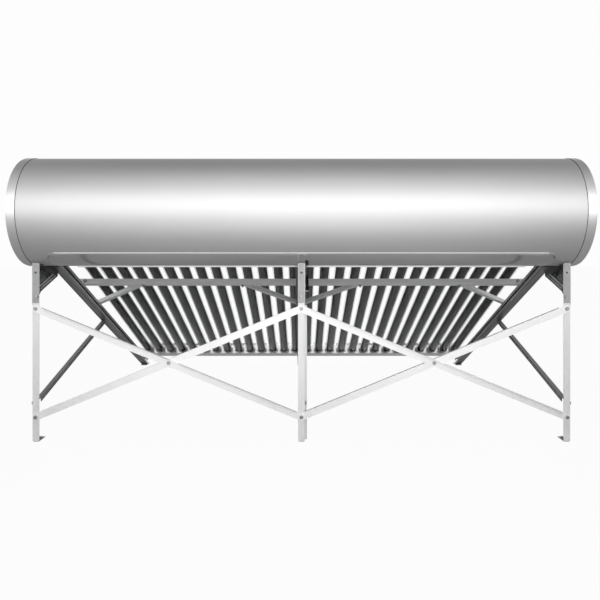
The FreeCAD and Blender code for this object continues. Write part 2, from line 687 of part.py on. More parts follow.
def ledge(body, side):
    """Stiffening flange along the gusset's sloping lower edge, turned outwards."""
    rise = "cradle_sheet * 1.5"
    points = [("-cradle_knee_back", "-cradle_knee_drop"), ("cradle_front", "-cradle_nose_drop")]
    points += [("cradle_front", f"{rise} - cradle_nose_drop"), ("-cradle_knee_back", f"{rise} - cradle_knee_drop")]
    pad(body, outline(new_sketch(body, "YZ_Plane"), points), "cradle_rib", reverse=side < 0)


def saddle(body, side, seat):
    """Curved flange under the tank, turned inwards, from the leg to the gusset's front edge."""
    arc_back = "asin((leg_back - leg_depth - cradle_sheet) / shell_radius)"
    arc_front = "asin(cradle_front / (shell_radius + cradle_sheet * 2))"
    low = f"-({seat} + cradle_sheet)"
    wide = "cradle_saddle"
    inner = f"-({seat})"
    sketch = new_sketch(body, "XZ_Plane")
    sketch.AttachmentOffset = Placement(Vector(), Rotation(Vector(1, 0, 0), -value(arc_back)))
    sketch.setExpression("AttachmentOffset.Rotation.Angle", formula(f"-{arc_back}"))
    points = [("0", low), (signed(-side, wide), low), (signed(-side, wide), inner), ("0", inner)]
    body.Tip = spin(body, outline(sketch, points), "H_Axis", f"{arc_back} + {arc_front}")


def angle_bar(label, base, rotation, length, face, flange, sheet, trim, flange_side):
    """Angle bar along its own Z: flat face across Y, flange along its upper edge."""
    body = new_body(label, base, rotation)
    half = f"({face} / 2)"
    flat = box_outline("-" + half, "0", half, sheet)
    sketch = outline(new_sketch(body, "XY_Plane", lift="-brace_end"), flat)
    pad(body, sketch, f"{length} + 2 * brace_end")
    near, far = ("0", f"{flange}") if flange_side > 0 else (sheet, f"({sheet} - {flange})")
    lip = box_outline(f"({half} - {sheet})", near, half, far)
    sketch = outline(new_sketch(body, "XY_Plane", lift=trim), lip)
    body.Tip = pad(body, sketch, f"{length} - 2 * {trim}")
    return body


def rear_brace(label, start, end, layer, flange_side):
    """One bar of a rear cross, from an upper bolt to a lower bolt."""
    high, low = value(BRACE_HIGH), value("brace_low")
    x0, x1 = value(start), value(end)
    along = Vector(x1 - x0, 0, low - high).normalize()
    across = Vector(along.z, 0, -along.x)
    if across.z < 0:
        across = across.negative()
    normal = along.cross(across)
    sheet_side = 1 if normal.y > 0 else -1
    shift = layer + (1 if sheet_side > 0 else 0)
    base = (x0, leg_back_y - shift * value("brace_sheet"), high)
    across_run, drop = f"({end} - ({start}))", f"({BRACE_HIGH} - brace_low)"
    run = f"sqrt({across_run} * {across_run} + {drop} * {drop})"
    rotation = Rotation(across, normal, along, "ZXY")
    side = sheet_side * flange_side
    return angle_bar(label, base, rotation, run, "brace_face", "brace_flange", "brace_sheet", "brace_trim", side)


def side_stay(name, face, side):
    """Channel stay inside a frame, from the leg's flange up to a bent tab under the rail."""
    low_y, half = "(leg_depth / 2 - leg_back)", "(stay_size / 2)"
    high_z = f"(({RAIL_TOE} - stay_forward) * tan(rail_slope))"
    dy, dz = f"(stay_forward - {low_y})", f"({high_z} - stay_low)"
    run = f"sqrt({dy} * {dy} + {dz} * {dz} - {half} * {half})"
    tilt = f"(atan({dz} / {dy}) - atan({half} / {run}))"
    base = (value(f"{face} - ({side}) * leg_sheet"), axis_y + value(low_y), value("stay_low"))
    body = new_body(f"{name}_stay", base, Rotation(Vector(1, 0, 0), value(tilt)))
    flat = box_outline("0", "-" + half, signed(-side, "brace_sheet"), half)
    sketch = outline(new_sketch(body, "XZ_Plane", lift="stay_tail"), flat)
    pad(body, sketch, f"{run} + stay_tail", reverse=True)
    wall = f"({half} - brace_sheet)"
    far, far_wall = signed(-side, "stay_size"), signed(-side, "stay_size - brace_sheet")
    hook = [("0", wall), ("0", half), (far, half), (far, "-" + half), (far_wall, "-" + half), (far_wall, wall)]
    sketch = outline(new_sketch(body, "XZ_Plane", lift="-brace_trim"), hook)
    body.Tip = pad(body, sketch, f"{run} - brace_trim", reverse=True)
    bend = f"({tilt} + rail_slope * 1 deg)"
    thick_y, thick_z = f"brace_sheet * sin({bend})", f"brace_sheet * cos({bend})"
    end_y, end_z = f"({run} + stay_tab * cos({bend}))", f"({half} - stay_tab * sin({bend}))"
    tab = [(run, half), (end_y, end_z), (f"{end_y} - {thick_y}", f"{end_z} - {thick_z}")]
    tab += [(f"{run} - {thick_y}", f"{half} - {thick_z}")]
    sketch = outline(new_sketch(body, "YZ_Plane"), tab)
    body.Tip = pad(body, sketch, "stay_size", reverse=side > 0)
    return body


# ---------------------------------------------------------------- bars on the rails
def rail_point(forward):
    """Distance along the rail of a spot on its top face, given in front of the tank axis."""
    return f"(({RAIL_TOE} - {forward} + rail_size * sin(rail_slope)) / cos(rail_slope))"


def cross_bar():
    """Angle bar across the tops of the three rails."""
    body = new_body("cross_bar", (0, toe_y, 0), RAIL_ROTATION)
    start = rail_point("bar_forward")
    up = "rail_size"
    points = [(up, start), (up, f"{start} - bar_foot"), (f"{up} + bar_sheet", f"{start} - bar_foot")]
    points += [(f"{up} + bar_sheet", f"{start} - bar_sheet"), (f"{up} + bar_face", f"{start} - bar_sheet")]
    points += [(f"{up} + bar_face", start)]
    sketch = outline(new_sketch(body, "YZ_Plane"), points)
    pad(body, sketch, f"2 * ({FRAME_HALF} - rail_sheet)", midplane=True)
    return body


RAIL_MIDDLE = f"({FRAME_HALF} - rail_size / 2)"
CENTRE_MIDDLE = "(centre_face - rail_size / 2)"
STRUTS = [
    ("left_outer_strut", "-" + RAIL_MIDDLE, f"(strut_side_run - {RAIL_MIDDLE})"),
    ("left_inner_strut", f"({CENTRE_MIDDLE} - strut_split)", "-strut_mid_run"),
    ("right_inner_strut", f"({CENTRE_MIDDLE} + strut_split)", "strut_mid_run"),
    ("right_outer_strut", RAIL_MIDDLE, f"({RAIL_MIDDLE} - strut_side_run)"),
]
STRUT_TOP = f"({rail_point('bar_forward')} - bar_foot + strut_lap)"


def corner_strut(label, rail_x, bar_x):
    """Angle strut from a washer on the rail to the cross bar's flat leg."""
    low = rail_point("strut_forward")
    dx, dz = f"({bar_x} - ({rail_x}))", f"({STRUT_TOP} - {low})"
    run = f"sqrt({dx} * {dx} + {dz} * {dz})"
    lean = math.degrees(math.atan2(value(dx), value(dz)))
    spot = RAIL_ROTATION.multVec(Vector(value(rail_x), value("rail_size + bar_sheet"), value(low)))
    rotation = RAIL_ROTATION.multiply(Rotation(Vector(0, 1, 0), lean))
    body = new_body(label, (spot.x, toe_y + spot.y, spot.z), rotation)
    half = "(strut_width / 2)"
    edge = "-1" if lean > 0 else "1"
    lip = box_outline(f"{edge} * {half}", "0", f"{edge} * ({half} - strut_sheet)", "strut_rise")
    for shape in (box_outline("-" + half, "0", half, "strut_sheet"), lip):
        sketch = outline(new_sketch(body, "XY_Plane", lift="-strut_end"), shape)
        body.Tip = pad(body, sketch, f"{run} + 2 * strut_end")
    return body


def washer(body, sketch, x, y, thickness, reverse=False):
    """A flat ring with a bolt hole."""
    circle(sketch, x, y, "washer_radius")
    circle(sketch, x, y, "bolt_hole")
    body.Tip = pad(body, sketch, thickness, reverse=reverse)


def strut_washers():
    """Spacer washers between the struts and the rails."""
    body = new_body("strut_washers", (0, toe_y, 0), RAIL_ROTATION)
    for _, rail_x, _ in STRUTS:
        sketch = new_sketch(body, "XZ_Plane", lift="-rail_size")
        washer(body, sketch, rail_x, rail_point("strut_forward"), "bar_sheet", reverse=True)
    return body


def brace_washers():
    """Spacer washers behind the outer ends of the front rear-braces."""
    body = new_body("brace_washers", (0, leg_back_y, 0))
    for x, height in ((LEFT_LEG, BRACE_HIGH), (RIGHT_LEG, "brace_low")):
        washer(body, new_sketch(body, "XZ_Plane"), x, height, "brace_sheet")
    return body


# ---------------------------------------------------------------- tray seats and feet
def tray_seat(name, face, side):
    """Wedge between the sloping rail and the tray's lower flange."""
    body = new_body(f"{name}_tray_seat", (value(face), toe_y, 0), RAIL_ROTATION)
    corners = []
    for reach in (f"({TRAY_WEB} - tray_sheet)", f"({TRAY_WEB} - tray_sheet - seat_length)"):
        y = f"({reach} * cos(tube_slope) - tray_half * sin(tube_slope) - {RAIL_TOE})"
        z = f"(tank_height - {reach} * sin(tube_slope) - tray_half * cos(tube_slope))"
        off = f"({y} * sin(rail_slope) + {z} * cos(rail_slope))"
        along = f"({z} * sin(rail_slope) - {y} * cos(rail_slope))"
        corners.append((off, along))
    (off_a, along_a), (off_b, along_b) = corners
    points = [("rail_size", along_a), (off_a, along_a), (off_b, along_b), ("rail_size", along_b)]
    pad(body, outline(new_sketch(body, "YZ_Plane"), points), "rail_size", reverse=side > 0)
    return body


def rear_foot(name, face, side):
    """Bent plate under a leg, with a tab inside the channel and one anchor hole."""
    body = new_body(f"{name}_rear_foot", (value(leg_centre(face, side)), leg_back_y, 0))
    wide = "(leg_width - 2 * leg_sheet - 2 * fit)"
    points = [("0", "0"), ("foot_length", "0"), ("foot_length", "foot_sheet")]
    points += [("leg_sheet + foot_sheet", "foot_sheet"), ("leg_sheet + foot_sheet", "foot_tab")]
    points += [("leg_sheet", "foot_tab"), ("leg_sheet", "foot_sheet"), ("0", "foot_sheet")]
    body.Tip = pad(body, outline(new_sketch(body, "YZ_Plane"), points), wide, midplane=True)
    sketch = circle(new_sketch(body, "XY_Plane"), "0", "foot_hole_ahead", "foot_hole_radius")
    cut(body, sketch, "foot_sheet * 2", reverse=True)
    return body


def front_foot(name, face, side):
    """Flat plate on the ground that carries the rail's cut end, with one anchor hole."""
    body = new_body(f"{name}_front_foot", (value(face), toe_y, 0))
    plate = box_outline("-toe_back", "0", "toe_length - toe_back", "foot_sheet")
    body.Tip = pad(body, outline(new_sketch(body, "YZ_Plane"), plate), "rail_size", reverse=side > 0)
    in_line = signed(-side, "leg_width / 2")
    sketch = circle(new_sketch(body, "XY_Plane"), in_line, "toe_hole_ahead", "foot_hole_radius")
    cut(body, sketch, "foot_sheet * 2", reverse=True)
    return body


# ---------------------------------------------------------------- water stubs
def stub(label, side, height, radius, bore):
    """Pipe from the vessel's head through the cap, with a thinner threaded end outside."""
    turn = Rotation(Vector(0, 0, 1), 0 if side > 0 else 180)
    body = new_body(label, TANK_BASE, turn)
    start = f"({VESSEL_HALF} - head_depth)"
    shoulder = f"({CAP_FACE} + stub_shoulder)"
    pipe = new_sketch(body, "YZ_Plane", lift=start)
    circle(pipe, "0", height, f"{radius} + stub_step")
    circle(pipe, "0", height, bore)
    body.Tip = pad(body, pipe, f"{shoulder} - {start}")
    thread = new_sketch(body, "YZ_Plane", lift=shoulder)
    circle(thread, "0", height, radius)
    circle(thread, "0", height, bore)
    body.Tip = pad(body, thread, "stub_reach - stub_shoulder")
    return body


def rod_plug(label, side, height, length):
    """Closed rod in the vessel with a round flange and a hexagon outside the cap."""
    turn = Rotation(Vector(0, 0, 1), 0 if side > 0 else 180)
    body = new_body(label, TANK_BASE, turn)
    rod = new_sketch(body, "YZ_Plane", lift=f"{VESSEL_HALF} - {length}")
    circle(rod, "0", height, "rod_radius")
    body.Tip = pad(body, rod, f"{CAP_FACE} - {VESSEL_HALF} + {length}")
    flange = new_sketch(body, "YZ_Plane", lift=CAP_FACE)
    circle(flange, "0", height, "plug_radius")
    body.Tip = pad(body, flange, "stub_reach / 4")
    hexagon = new_sketch(body, "YZ_Plane", lift=f"{CAP_FACE} + stub_reach / 4")
    corners = [(f"plug_hex * cos({60 * i})", f"{height} + plug_hex * sin({60 * i})") for i in range(6)]
    body.Tip = pad(body, outline(hexagon, corners), "stub_reach / 3")
    return body


# ---------------------------------------------------------------- assembly
NODES = [
    outer_shell(), belly_plate(), inner_vessel(), insulation_foam(),
    end_cap("left_cap", -1, LEFT_PORTS), end_cap("right_cap", 1, RIGHT_PORTS),
    glass_tubes(), absorber_tubes(), dust_rings(), tail_cups(), tail_tray(),
    cross_bar(), strut_washers(), brace_washers(),
    stub("cold_inlet", -1, "-port_height", "stub_radius", "stub_bore"),
    stub("hot_outlet", 1, "port_height", "stub_radius", "stub_bore"),
    stub("vent_stub", -1, "port_height", "vent_radius", "vent_bore"),
    rod_plug("immersion_heater", 1, "-port_height", "heater_length"),
    rod_plug("sensor_pocket", -1, "0", "sensor_length"),
]
for frame in FRAMES:
    for maker in (side_rail, rear_leg, leg_head, cradle, side_stay, tray_seat, rear_foot, front_foot):
        NODES.append(maker(*frame))
for strut in STRUTS:
    NODES.append(corner_strut(*strut))

NODES += [
    rear_brace("left_front_brace", LEFT_LEG, CENTRE_LEG, 1, -1),
    rear_brace("left_back_brace", CENTRE_LEG, LEFT_LEG, 0, 1),
    rear_brace("right_front_brace", CENTRE_LEG, RIGHT_LEG, 1, -1),
    rear_brace("right_back_brace", RIGHT_LEG, CENTRE_LEG, 0, 1),
]

doc.recompute()
for item in doc.Objects:
    if "Invalid" in item.State or "Error" in item.State:
        raise RuntimeError(f"{item.Label} failed: {item.State}")
for body in NODES:
    if body.Shape.isNull() or not body.Shape.isValid():
        raise RuntimeError(f"{body.Label} has no valid shape")

os.makedirs("parts", exist_ok=True)
for body in NODES:
    body.Shape.exportStep(f"parts/{body.Label}.step")
    box = body.Shape.BoundBox
    print(f"{body.Label}: {len(body.Shape.Solids)} solids, {body.Shape.Volume / 1e3:.1f} cm3, "
          f"y {box.YMin:.1f}..{box.YMax:.1f}, z {box.ZMin:.1f}..{box.ZMax:.1f}")
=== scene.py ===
# %% [markdown]
# # Dressing a solar water heater
# The frame holds the heater's solids: tank, tubes, stand and feet, all in metres.
# This lesson gives each of them its finish, and adds what solids are poor at: thin glass with
# rounded ends, and the bolts that hold the stand together.

# %% Load the frame
import json
import math
import bmesh
import bpy
from mathutils import Matrix, Vector


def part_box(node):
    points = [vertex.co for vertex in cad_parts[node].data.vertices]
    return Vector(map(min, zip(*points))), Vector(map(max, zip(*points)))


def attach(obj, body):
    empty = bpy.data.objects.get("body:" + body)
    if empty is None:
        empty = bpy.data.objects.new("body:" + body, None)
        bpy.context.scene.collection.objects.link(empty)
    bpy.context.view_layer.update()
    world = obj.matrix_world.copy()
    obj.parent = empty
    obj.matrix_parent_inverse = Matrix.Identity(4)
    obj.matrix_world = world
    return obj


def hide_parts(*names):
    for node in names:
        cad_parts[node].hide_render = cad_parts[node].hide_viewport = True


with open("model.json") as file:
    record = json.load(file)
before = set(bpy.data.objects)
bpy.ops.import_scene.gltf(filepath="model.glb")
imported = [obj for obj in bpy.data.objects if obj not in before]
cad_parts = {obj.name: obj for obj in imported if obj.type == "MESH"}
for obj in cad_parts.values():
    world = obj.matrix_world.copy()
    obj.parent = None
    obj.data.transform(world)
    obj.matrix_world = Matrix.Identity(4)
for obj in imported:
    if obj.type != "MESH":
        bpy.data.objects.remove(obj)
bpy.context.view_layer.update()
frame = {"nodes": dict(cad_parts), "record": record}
nodes = frame["nodes"]

# %% [markdown]
# ## Where things are
# Places come from the boxes of the frame's nodes wherever they can, so the dressing follows the
# solids. The tank's shell gives the axis, and a rail's lower end gives the point where the rails
# meet the ground. The slopes of rails and tubes are those of the solids. Sizes that repeat, such
# as the sheet's thickness, get a name here once.

# %% Main lines
shell_low, shell_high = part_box("outer_shell")
AXIS = (shell_low + shell_high) / 2
SHELL_R = (shell_high.z - shell_low.z) / 2
SLOPE = math.radians(24.9)
ALONG_RAIL = Vector((0, -math.cos(SLOPE), math.sin(SLOPE)))
OFF_RAIL = Vector((0, math.sin(SLOPE), math.cos(SLOPE)))
TUBE_SLOPE = math.radians(26.8)
DOWN_TUBE = Vector((0, math.cos(TUBE_SLOPE), -math.sin(TUBE_SLOPE)))
SHEET = 0.002
RAIL_SIZE = 0.04
FOOT = 0.003
toe_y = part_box("left_rail")[1].y + FOOT / math.tan(SLOPE) - RAIL_SIZE * math.sin(SLOPE)
print("tank axis", AXIS, "radius", round(SHELL_R, 4), "rail meets the ground at", round(toe_y, 4))


def on_rail(x, forward, off):
    """A point above a rail: its distance in front of the tank's axis, and off the underside."""
    run = (toe_y - AXIS.y - forward + off * math.sin(SLOPE)) / math.cos(SLOPE)
    return Vector((x, toe_y, 0)) + ALONG_RAIL * run + OFF_RAIL * off


# %% [markdown]
# ## The camera
# A heater this long is looked at from behind its tank, square on, from a little under the
# tank's height. A camera that stays level keeps the legs upright. A small shift, rather than a
# tilt, puts the heater at the height in the frame where it belongs.

# %% Camera
camera_data = bpy.data.cameras.new("Camera")
camera_data.lens = 36.9
camera_data.sensor_width = 36
camera_data.shift_x = -0.0023
camera_data.shift_y = -0.08
camera_data.clip_end = 60
camera = bpy.data.objects.new("Camera", camera_data)
camera.location = (0, AXIS.y - 2.659, 0.793)
camera.rotation_euler = (math.radians(90), 0, 0)
bpy.context.collection.objects.link(camera)
bpy.context.scene.camera = camera
bpy.context.scene.view_settings.view_transform = "Standard"
print("camera", [round(v, 3) for v in camera.location])

# %% [markdown]
# ## Helpers for nodes
# A material is a small tree of nodes. Two helpers keep the trees short to read: one adds a node
# with its settings, the other starts a material around one Principled BSDF, whose constant
# values are set on its own sockets.

# %% Node helpers
def add(tree, kind, **settings):
    """Add one shader node and set its properties."""
    node = tree.nodes.new("ShaderNode" + kind)
    for key, value in settings.items():
        setattr(node, key, value)
    return node


def new_finish(name, **constants):
    """Start a material and set the constant sockets of its Principled BSDF."""
    material = bpy.data.materials.new(name)
    material.use_nodes = True
    shader = material.node_tree.nodes["Principled BSDF"]
    for key, value in constants.items():
        shader.inputs[key.replace("_", " ")].default_value = value
    return material, material.node_tree, shader


print("node helpers ready")

# %% [markdown]
# ## Shared effects
# Sheet metal shows two things on every piece of this heater: fine lines left by rolling and
# brushing, and broad soft blotches where the sheet takes the light unevenly. Zinc adds a third,
# the flat crystals called spangle. They could be built again in every material. Each is one node
# group instead, which any finish can use at its own scale, because an effect built once stays
# the same from piece to piece.

# %% Group helper
def new_group(name, numbers, outputs):
    """Start a node group with float inputs, a vector input and named outputs."""
    group = bpy.data.node_groups.new(name, "ShaderNodeTree")
    for label, value in numbers.items():
        socket = group.interface.new_socket(label, in_out="INPUT", socket_type="NodeSocketFloat")
        socket.default_value = value
    group.interface.new_socket("Stretch", in_out="INPUT", socket_type="NodeSocketVector")
    group.interface.new_socket("Turn", in_out="INPUT", socket_type="NodeSocketFloat")
    for label in outputs:
        group.interface.new_socket(label, in_out="OUTPUT", socket_type="NodeSocketFloat")
    return group, group.nodes.new("NodeGroupInput"), group.nodes.new("NodeGroupOutput")


def stretched_place(group, inside):
    """Object coordinates turned about X by the group's Turn, then multiplied by its Stretch."""
    place = add(group, "TexCoord")
    turned = add(group, "VectorRotate", rotation_type="X_AXIS")
    scaled = add(group, "VectorMath", operation="MULTIPLY")
    group.links.new(place.outputs["Object"], turned.inputs["Vector"])
    group.links.new(inside.outputs["Turn"], turned.inputs["Angle"])
    group.links.new(turned.outputs[0], scaled.inputs[0])
    group.links.new(inside.outputs["Stretch"], scaled.inputs[1])
    return scaled.outputs[0]


print("group helpers ready")

# %% [markdown]
# Rolling leaves lines that are long one way and fine the other. A wave texture would draw them
# too evenly, so a noise is stretched instead: a small number along the lines, a large one across.

# %% Brushed lines
brushed, inside, outside = new_group("Brushed lines", {"Strength": 1.0}, ["Lines"])
where = stretched_place(brushed, inside)
noise = add(brushed, "TexNoise")
noise.inputs["Scale"].default_value = 1
noise.inputs["Detail"].default_value = 4
noise.inputs["Roughness"].default_value = 0.7
fade = add(brushed, "Math", operation="MULTIPLY")
brushed.links.new(where, noise.inputs["Vector"])
brushed.links.new(noise.outputs["Fac"], fade.inputs[0])
brushed.links.new(inside.outputs["Strength"], fade.inputs[1])
brushed.links.new(fade.outputs[0], outside.inputs["Lines"])
print("group", brushed.name)

# %% [markdown]
# Thin sheet is never quite flat, and never equally bright all over. A broad noise makes those
# patches. Its contrast is widened about the middle and clamped, so that one group can give both
# faint clouds and clear stains.

# %% Soft blotches
blotches, inside, outside = new_group("Soft blotches", {"Contrast": 2.0}, ["Tone"])
where = stretched_place(blotches, inside)
noise = add(blotches, "TexNoise")
noise.inputs["Scale"].default_value = 1
noise.inputs["Detail"].default_value = 3
centred = add(blotches, "Math", operation="SUBTRACT")
centred.inputs[1].default_value = 0.5
wider = add(blotches, "Math", operation="MULTIPLY")
lifted = add(blotches, "Math", operation="ADD", use_clamp=True)
lifted.inputs[1].default_value = 0.5
blotches.links.new(where, noise.inputs["Vector"])
blotches.links.new(noise.outputs["Fac"], centred.inputs[0])
blotches.links.new(centred.outputs[0], wider.inputs[0])
blotches.links.new(inside.outputs["Contrast"], wider.inputs[1])
blotches.links.new(wider.outputs[0], lifted.inputs[0])
blotches.links.new(lifted.outputs[0], outside.inputs["Tone"])
print("group", blotches.name)

# %% [markdown]
# Hot zinc freezes in flat crystals, each with one tone of its own and straight borders. A Voronoi
# texture gives just such cells, and one channel of their random colour gives each cell its tone.

# %% Zinc spangle
spangle, inside, outside = new_group("Zinc spangle", {"Sharpness": 1.0}, ["Crystals"])
where = stretched_place(spangle, inside)
cells = add(spangle, "TexVoronoi")
cells.inputs["Scale"].default_value = 1
split = add(spangle, "SeparateColor")
fade = add(spangle, "Math", operation="MULTIPLY")
spangle.links.new(where, cells.inputs["Vector"])
spangle.links.new(cells.outputs["Color"], split.inputs[0])
spangle.links.new(split.outputs[0], fade.inputs[0])
spangle.links.new(inside.outputs["Sharpness"], fade.inputs[1])
spangle.links.new(fade.outputs[0], outside.inputs["Crystals"])
print("group", spangle.name)


# %% [markdown]
# ## One recipe for metal and plastic sheet
# All the finishes here are built the same way: a fine pattern drives roughness and a shallow
# bump, and a broad one moves the colour between two near tones. The recipe takes the two tones,
# the pattern and its stretch, and leaves everything else to plain values on the shader.

# %% Sheet recipe
def effect(tree, group, stretch, amount=None, turn=0.0):
    """Place a shared group in a material with its own stretch, first value and turn."""
    node = add(tree, "Group", node_tree=group)
    node.inputs["Stretch"].default_value = stretch
    node.inputs["Turn"].default_value = turn
    if amount is not None:
        node.inputs[0].default_value = amount
    return node.outputs[0]


def sheet_finish(name, dark, light, rough, fine, broad, bump=0.1, depth=0.0002, **constants):
    """A finish between two tones, with a fine pattern in its gloss and its surface."""
    material, tree, shader = new_finish(name, **constants)
    pattern = effect(tree, *fine)
    tone = effect(tree, *broad)
    mix = add(tree, "Mix", data_type="RGBA")
    mix.inputs["A"].default_value = (*dark, 1)
    mix.inputs["B"].default_value = (*light, 1)
    gloss = add(tree, "MapRange")
    gloss.inputs["To Min"].default_value = rough[0]
    gloss.inputs["To Max"].default_value = rough[1]
    relief = add(tree, "Bump")
    relief.inputs["Strength"].default_value = bump
    relief.inputs["Distance"].default_value = depth
    tree.links.new(tone, mix.inputs["Factor"])
    tree.links.new(mix.outputs["Result"], shader.inputs["Base Color"])
    tree.links.new(pattern, gloss.inputs["Value"])
    tree.links.new(gloss.outputs[0], shader.inputs["Roughness"])
    tree.links.new(pattern, relief.inputs["Height"])
    tree.links.new(relief.outputs[0], shader.inputs["Normal"])
    return material


print("sheet recipe ready")

# %% [markdown]
# ## Steel of the tank
# The tank's jacket is thin stainless sheet, polished along its length, so its lines run along
# the tank and smear the light up and down. The end caps are pressed from whiter sheet with a
# tighter shine. The strip under the tank is the brightest, almost a mirror. The vessel and the
# foam are inside and only show if the jacket is taken off, but they are finished all the same.

# %% Tank finishes
finishes = {}
finishes["shell_steel"] = sheet_finish(
    "Polished jacket", (0.7, 0.7, 0.7), (0.76, 0.76, 0.76), (0.5, 0.57),
    (brushed, (1.5, 420, 420)), (blotches, (1.2, 2.5, 2.5)), bump=0.06, Metallic=1.0)
finishes["belly_steel"] = sheet_finish(
    "Bright belly plate", (0.74, 0.74, 0.74), (0.8, 0.8, 0.8), (0.1, 0.16),
    (brushed, (1.5, 420, 420)), (blotches, (2, 4, 4)), bump=0.06, Metallic=1.0)
finishes["cap_steel"] = sheet_finish(
    "Pressed end caps", (0.88, 0.88, 0.88), (0.95, 0.95, 0.95), (0.36, 0.46),
    (brushed, (420, 30, 30)), (blotches, (3, 5, 5)), bump=0.08, Metallic=1.0)
finishes["vessel_steel"] = sheet_finish(
    "Pickled vessel", (0.5, 0.5, 0.51), (0.6, 0.6, 0.61), (0.45, 0.6),
    (brushed, (60, 60, 60)), (blotches, (4, 4, 4)), Metallic=1.0)
finishes["foam"] = sheet_finish(
    "Rigid foam", (0.8, 0.7, 0.42), (0.88, 0.8, 0.55), (0.85, 0.95),
    (spangle, (400, 400, 400)), (blotches, (9, 9, 9)), bump=0.5, depth=0.001)
print("tank finishes", list(finishes))

# %% [markdown]
# ## Steel of the stand
# The legs and the crossed braces are pale galvanised strip. Zinc shows spangle, so they use the
# crystal group, where rolled sheet uses the brushed one. Zinc dulls within weeks to something
# between metal and paint, and a Metallic well under one gives that chalky white.

# %% Legs, heads, feet and braces
finishes["leg_steel"] = sheet_finish(
    "Pale galvanised strip", (0.8, 0.805, 0.8), (0.88, 0.885, 0.88), (0.34, 0.5),
    (spangle, (90, 90, 60)), (blotches, (12, 12, 5)), bump=0.05, Metallic=0.35)
finishes["brace_steel"] = sheet_finish(
    "White zinc brace", (0.93, 0.93, 0.93), (0.97, 0.97, 0.97), (0.36, 0.48),
    (spangle, (90, 90, 90)), (blotches, (8, 8, 8)), bump=0.05, Metallic=0.46)
finishes["head_steel"] = sheet_finish(
    "Dull zinc plate", (0.32, 0.32, 0.32), (0.43, 0.43, 0.43), (0.35, 0.5),
    (spangle, (160, 160, 160)), (blotches, (20, 20, 20), 1.5), bump=0.06, Metallic=0.6)
finishes["foot_steel"] = sheet_finish(
    "Zinc feet", (0.5, 0.505, 0.51), (0.62, 0.625, 0.63), (0.4, 0.6),
    (spangle, (130, 130, 130)), (blotches, (20, 20, 20)), bump=0.1, Metallic=0.7)
print("strip finishes", len(finishes))

# %% [markdown]
# The rails, the stays and the bars are rolled or folded channel. The rails are darker and
# streaked along their length, so their pattern is turned to their slope. The stays are as dark,
# but plain. The cross bar and its struts are nearly as pale as the legs.

# %% Rails, stays and bars
finishes["rail_steel"] = sheet_finish(
    "Rolled rail channel", (0.24, 0.245, 0.25), (0.42, 0.425, 0.43), (0.2, 0.42),
    (brushed, (150, 3, 190), 1.0, SLOPE), (blotches, (90, 2, 150), 4.0, SLOPE),
    bump=0.3, Metallic=0.95)
# A paler copy of the rail finish: painted light for the rails' side walls, which the lamps leave dark.
finishes["rail_side"] = sheet_finish(
    "Rail side, painted light", (0.42, 0.425, 0.43), (0.85, 0.855, 0.86), (0.3, 0.5),
    (brushed, (150, 3, 190), 1.0, SLOPE), (blotches, (90, 2, 260), 5.0, SLOPE),
    bump=0.3, Metallic=0.2)
finishes["stay_steel"] = sheet_finish(
    "Dark stay channel", (0.3, 0.305, 0.31), (0.38, 0.385, 0.39), (0.35, 0.45),
    (brushed, (260, 260, 260)), (blotches, (5, 5, 5), 1.5), bump=0.03, Metallic=0.6)
finishes["bar_steel"] = sheet_finish(
    "Galvanised bar", (0.84, 0.845, 0.85), (0.95, 0.955, 0.96), (0.35, 0.5),
    (brushed, (3, 200, 200)), (blotches, (5, 60, 60), 3.0), bump=0.1, Metallic=0.3)
print("channel finishes", len(finishes))

# %% [markdown]
# The cradles under the tank are dark and glossy, and wavy enough to bend what they mirror, so
# their relief comes from a broad pattern. The tray is bright sheet with lines along its length.
# Fittings and bolts are turned and plated, and the pressed ribs' pale crowns are a painted highlight.

# %% Cradles, tray and fittings
finishes["cradle_steel"] = sheet_finish(
    "Dark gloss cradles", (0.15, 0.155, 0.16), (0.24, 0.245, 0.25), (0.08, 0.2),
    (blotches, (12, 14, 24), 2.0, -0.6), (blotches, (9, 9, 9), 1.5),
    bump=0.4, depth=0.001, Metallic=0.9)
finishes["tray_steel"] = sheet_finish(
    "Bright tray sheet", (0.9, 0.9, 0.9), (0.97, 0.97, 0.97), (0.16, 0.26),
    (brushed, (3, 260, 260)), (blotches, (4, 14, 14)), bump=0.04, Metallic=1.0)
finishes["fitting"] = sheet_finish(
    "Turned fittings", (0.55, 0.55, 0.54), (0.66, 0.66, 0.65), (0.22, 0.36),
    (brushed, (700, 50, 50)), (blotches, (40, 40, 40)), bump=0.2, Metallic=1.0)
finishes["bolt_zinc"] = sheet_finish(
    "Bright zinc bolts", (0.32, 0.32, 0.31), (0.5, 0.5, 0.48), (0.2, 0.36),
    (brushed, (300, 300, 300)), (blotches, (80, 80, 80)), bump=0.15, Metallic=1.0)
# Pale rib crowns: a painted highlight along the pressed ribs.
finishes["highlight_rib"] = sheet_finish(
    "Rib crowns, painted highlight", (0.6, 0.605, 0.61), (0.9, 0.905, 0.91), (0.12, 0.25),
    (brushed, (60, 60, 400)), (blotches, (40, 40, 40)), bump=0.1, Metallic=0.3)
print("fittings and all before", len(finishes))

# %% [markdown]
# ## Rubber, plastic and the tubes' coats
# A rubber ring keeps dust out of each tube's hole, and a moulded cup holds the tube's closed
# end. The rings are near black, dull and slightly grainy. The cups are pale, with the shallow
# leathery texture that a mould leaves. The coat on the inner tube is made to swallow light, so
# it keeps hardly any gleam, and the mirror in the tube's foot is a thin dark metal film.

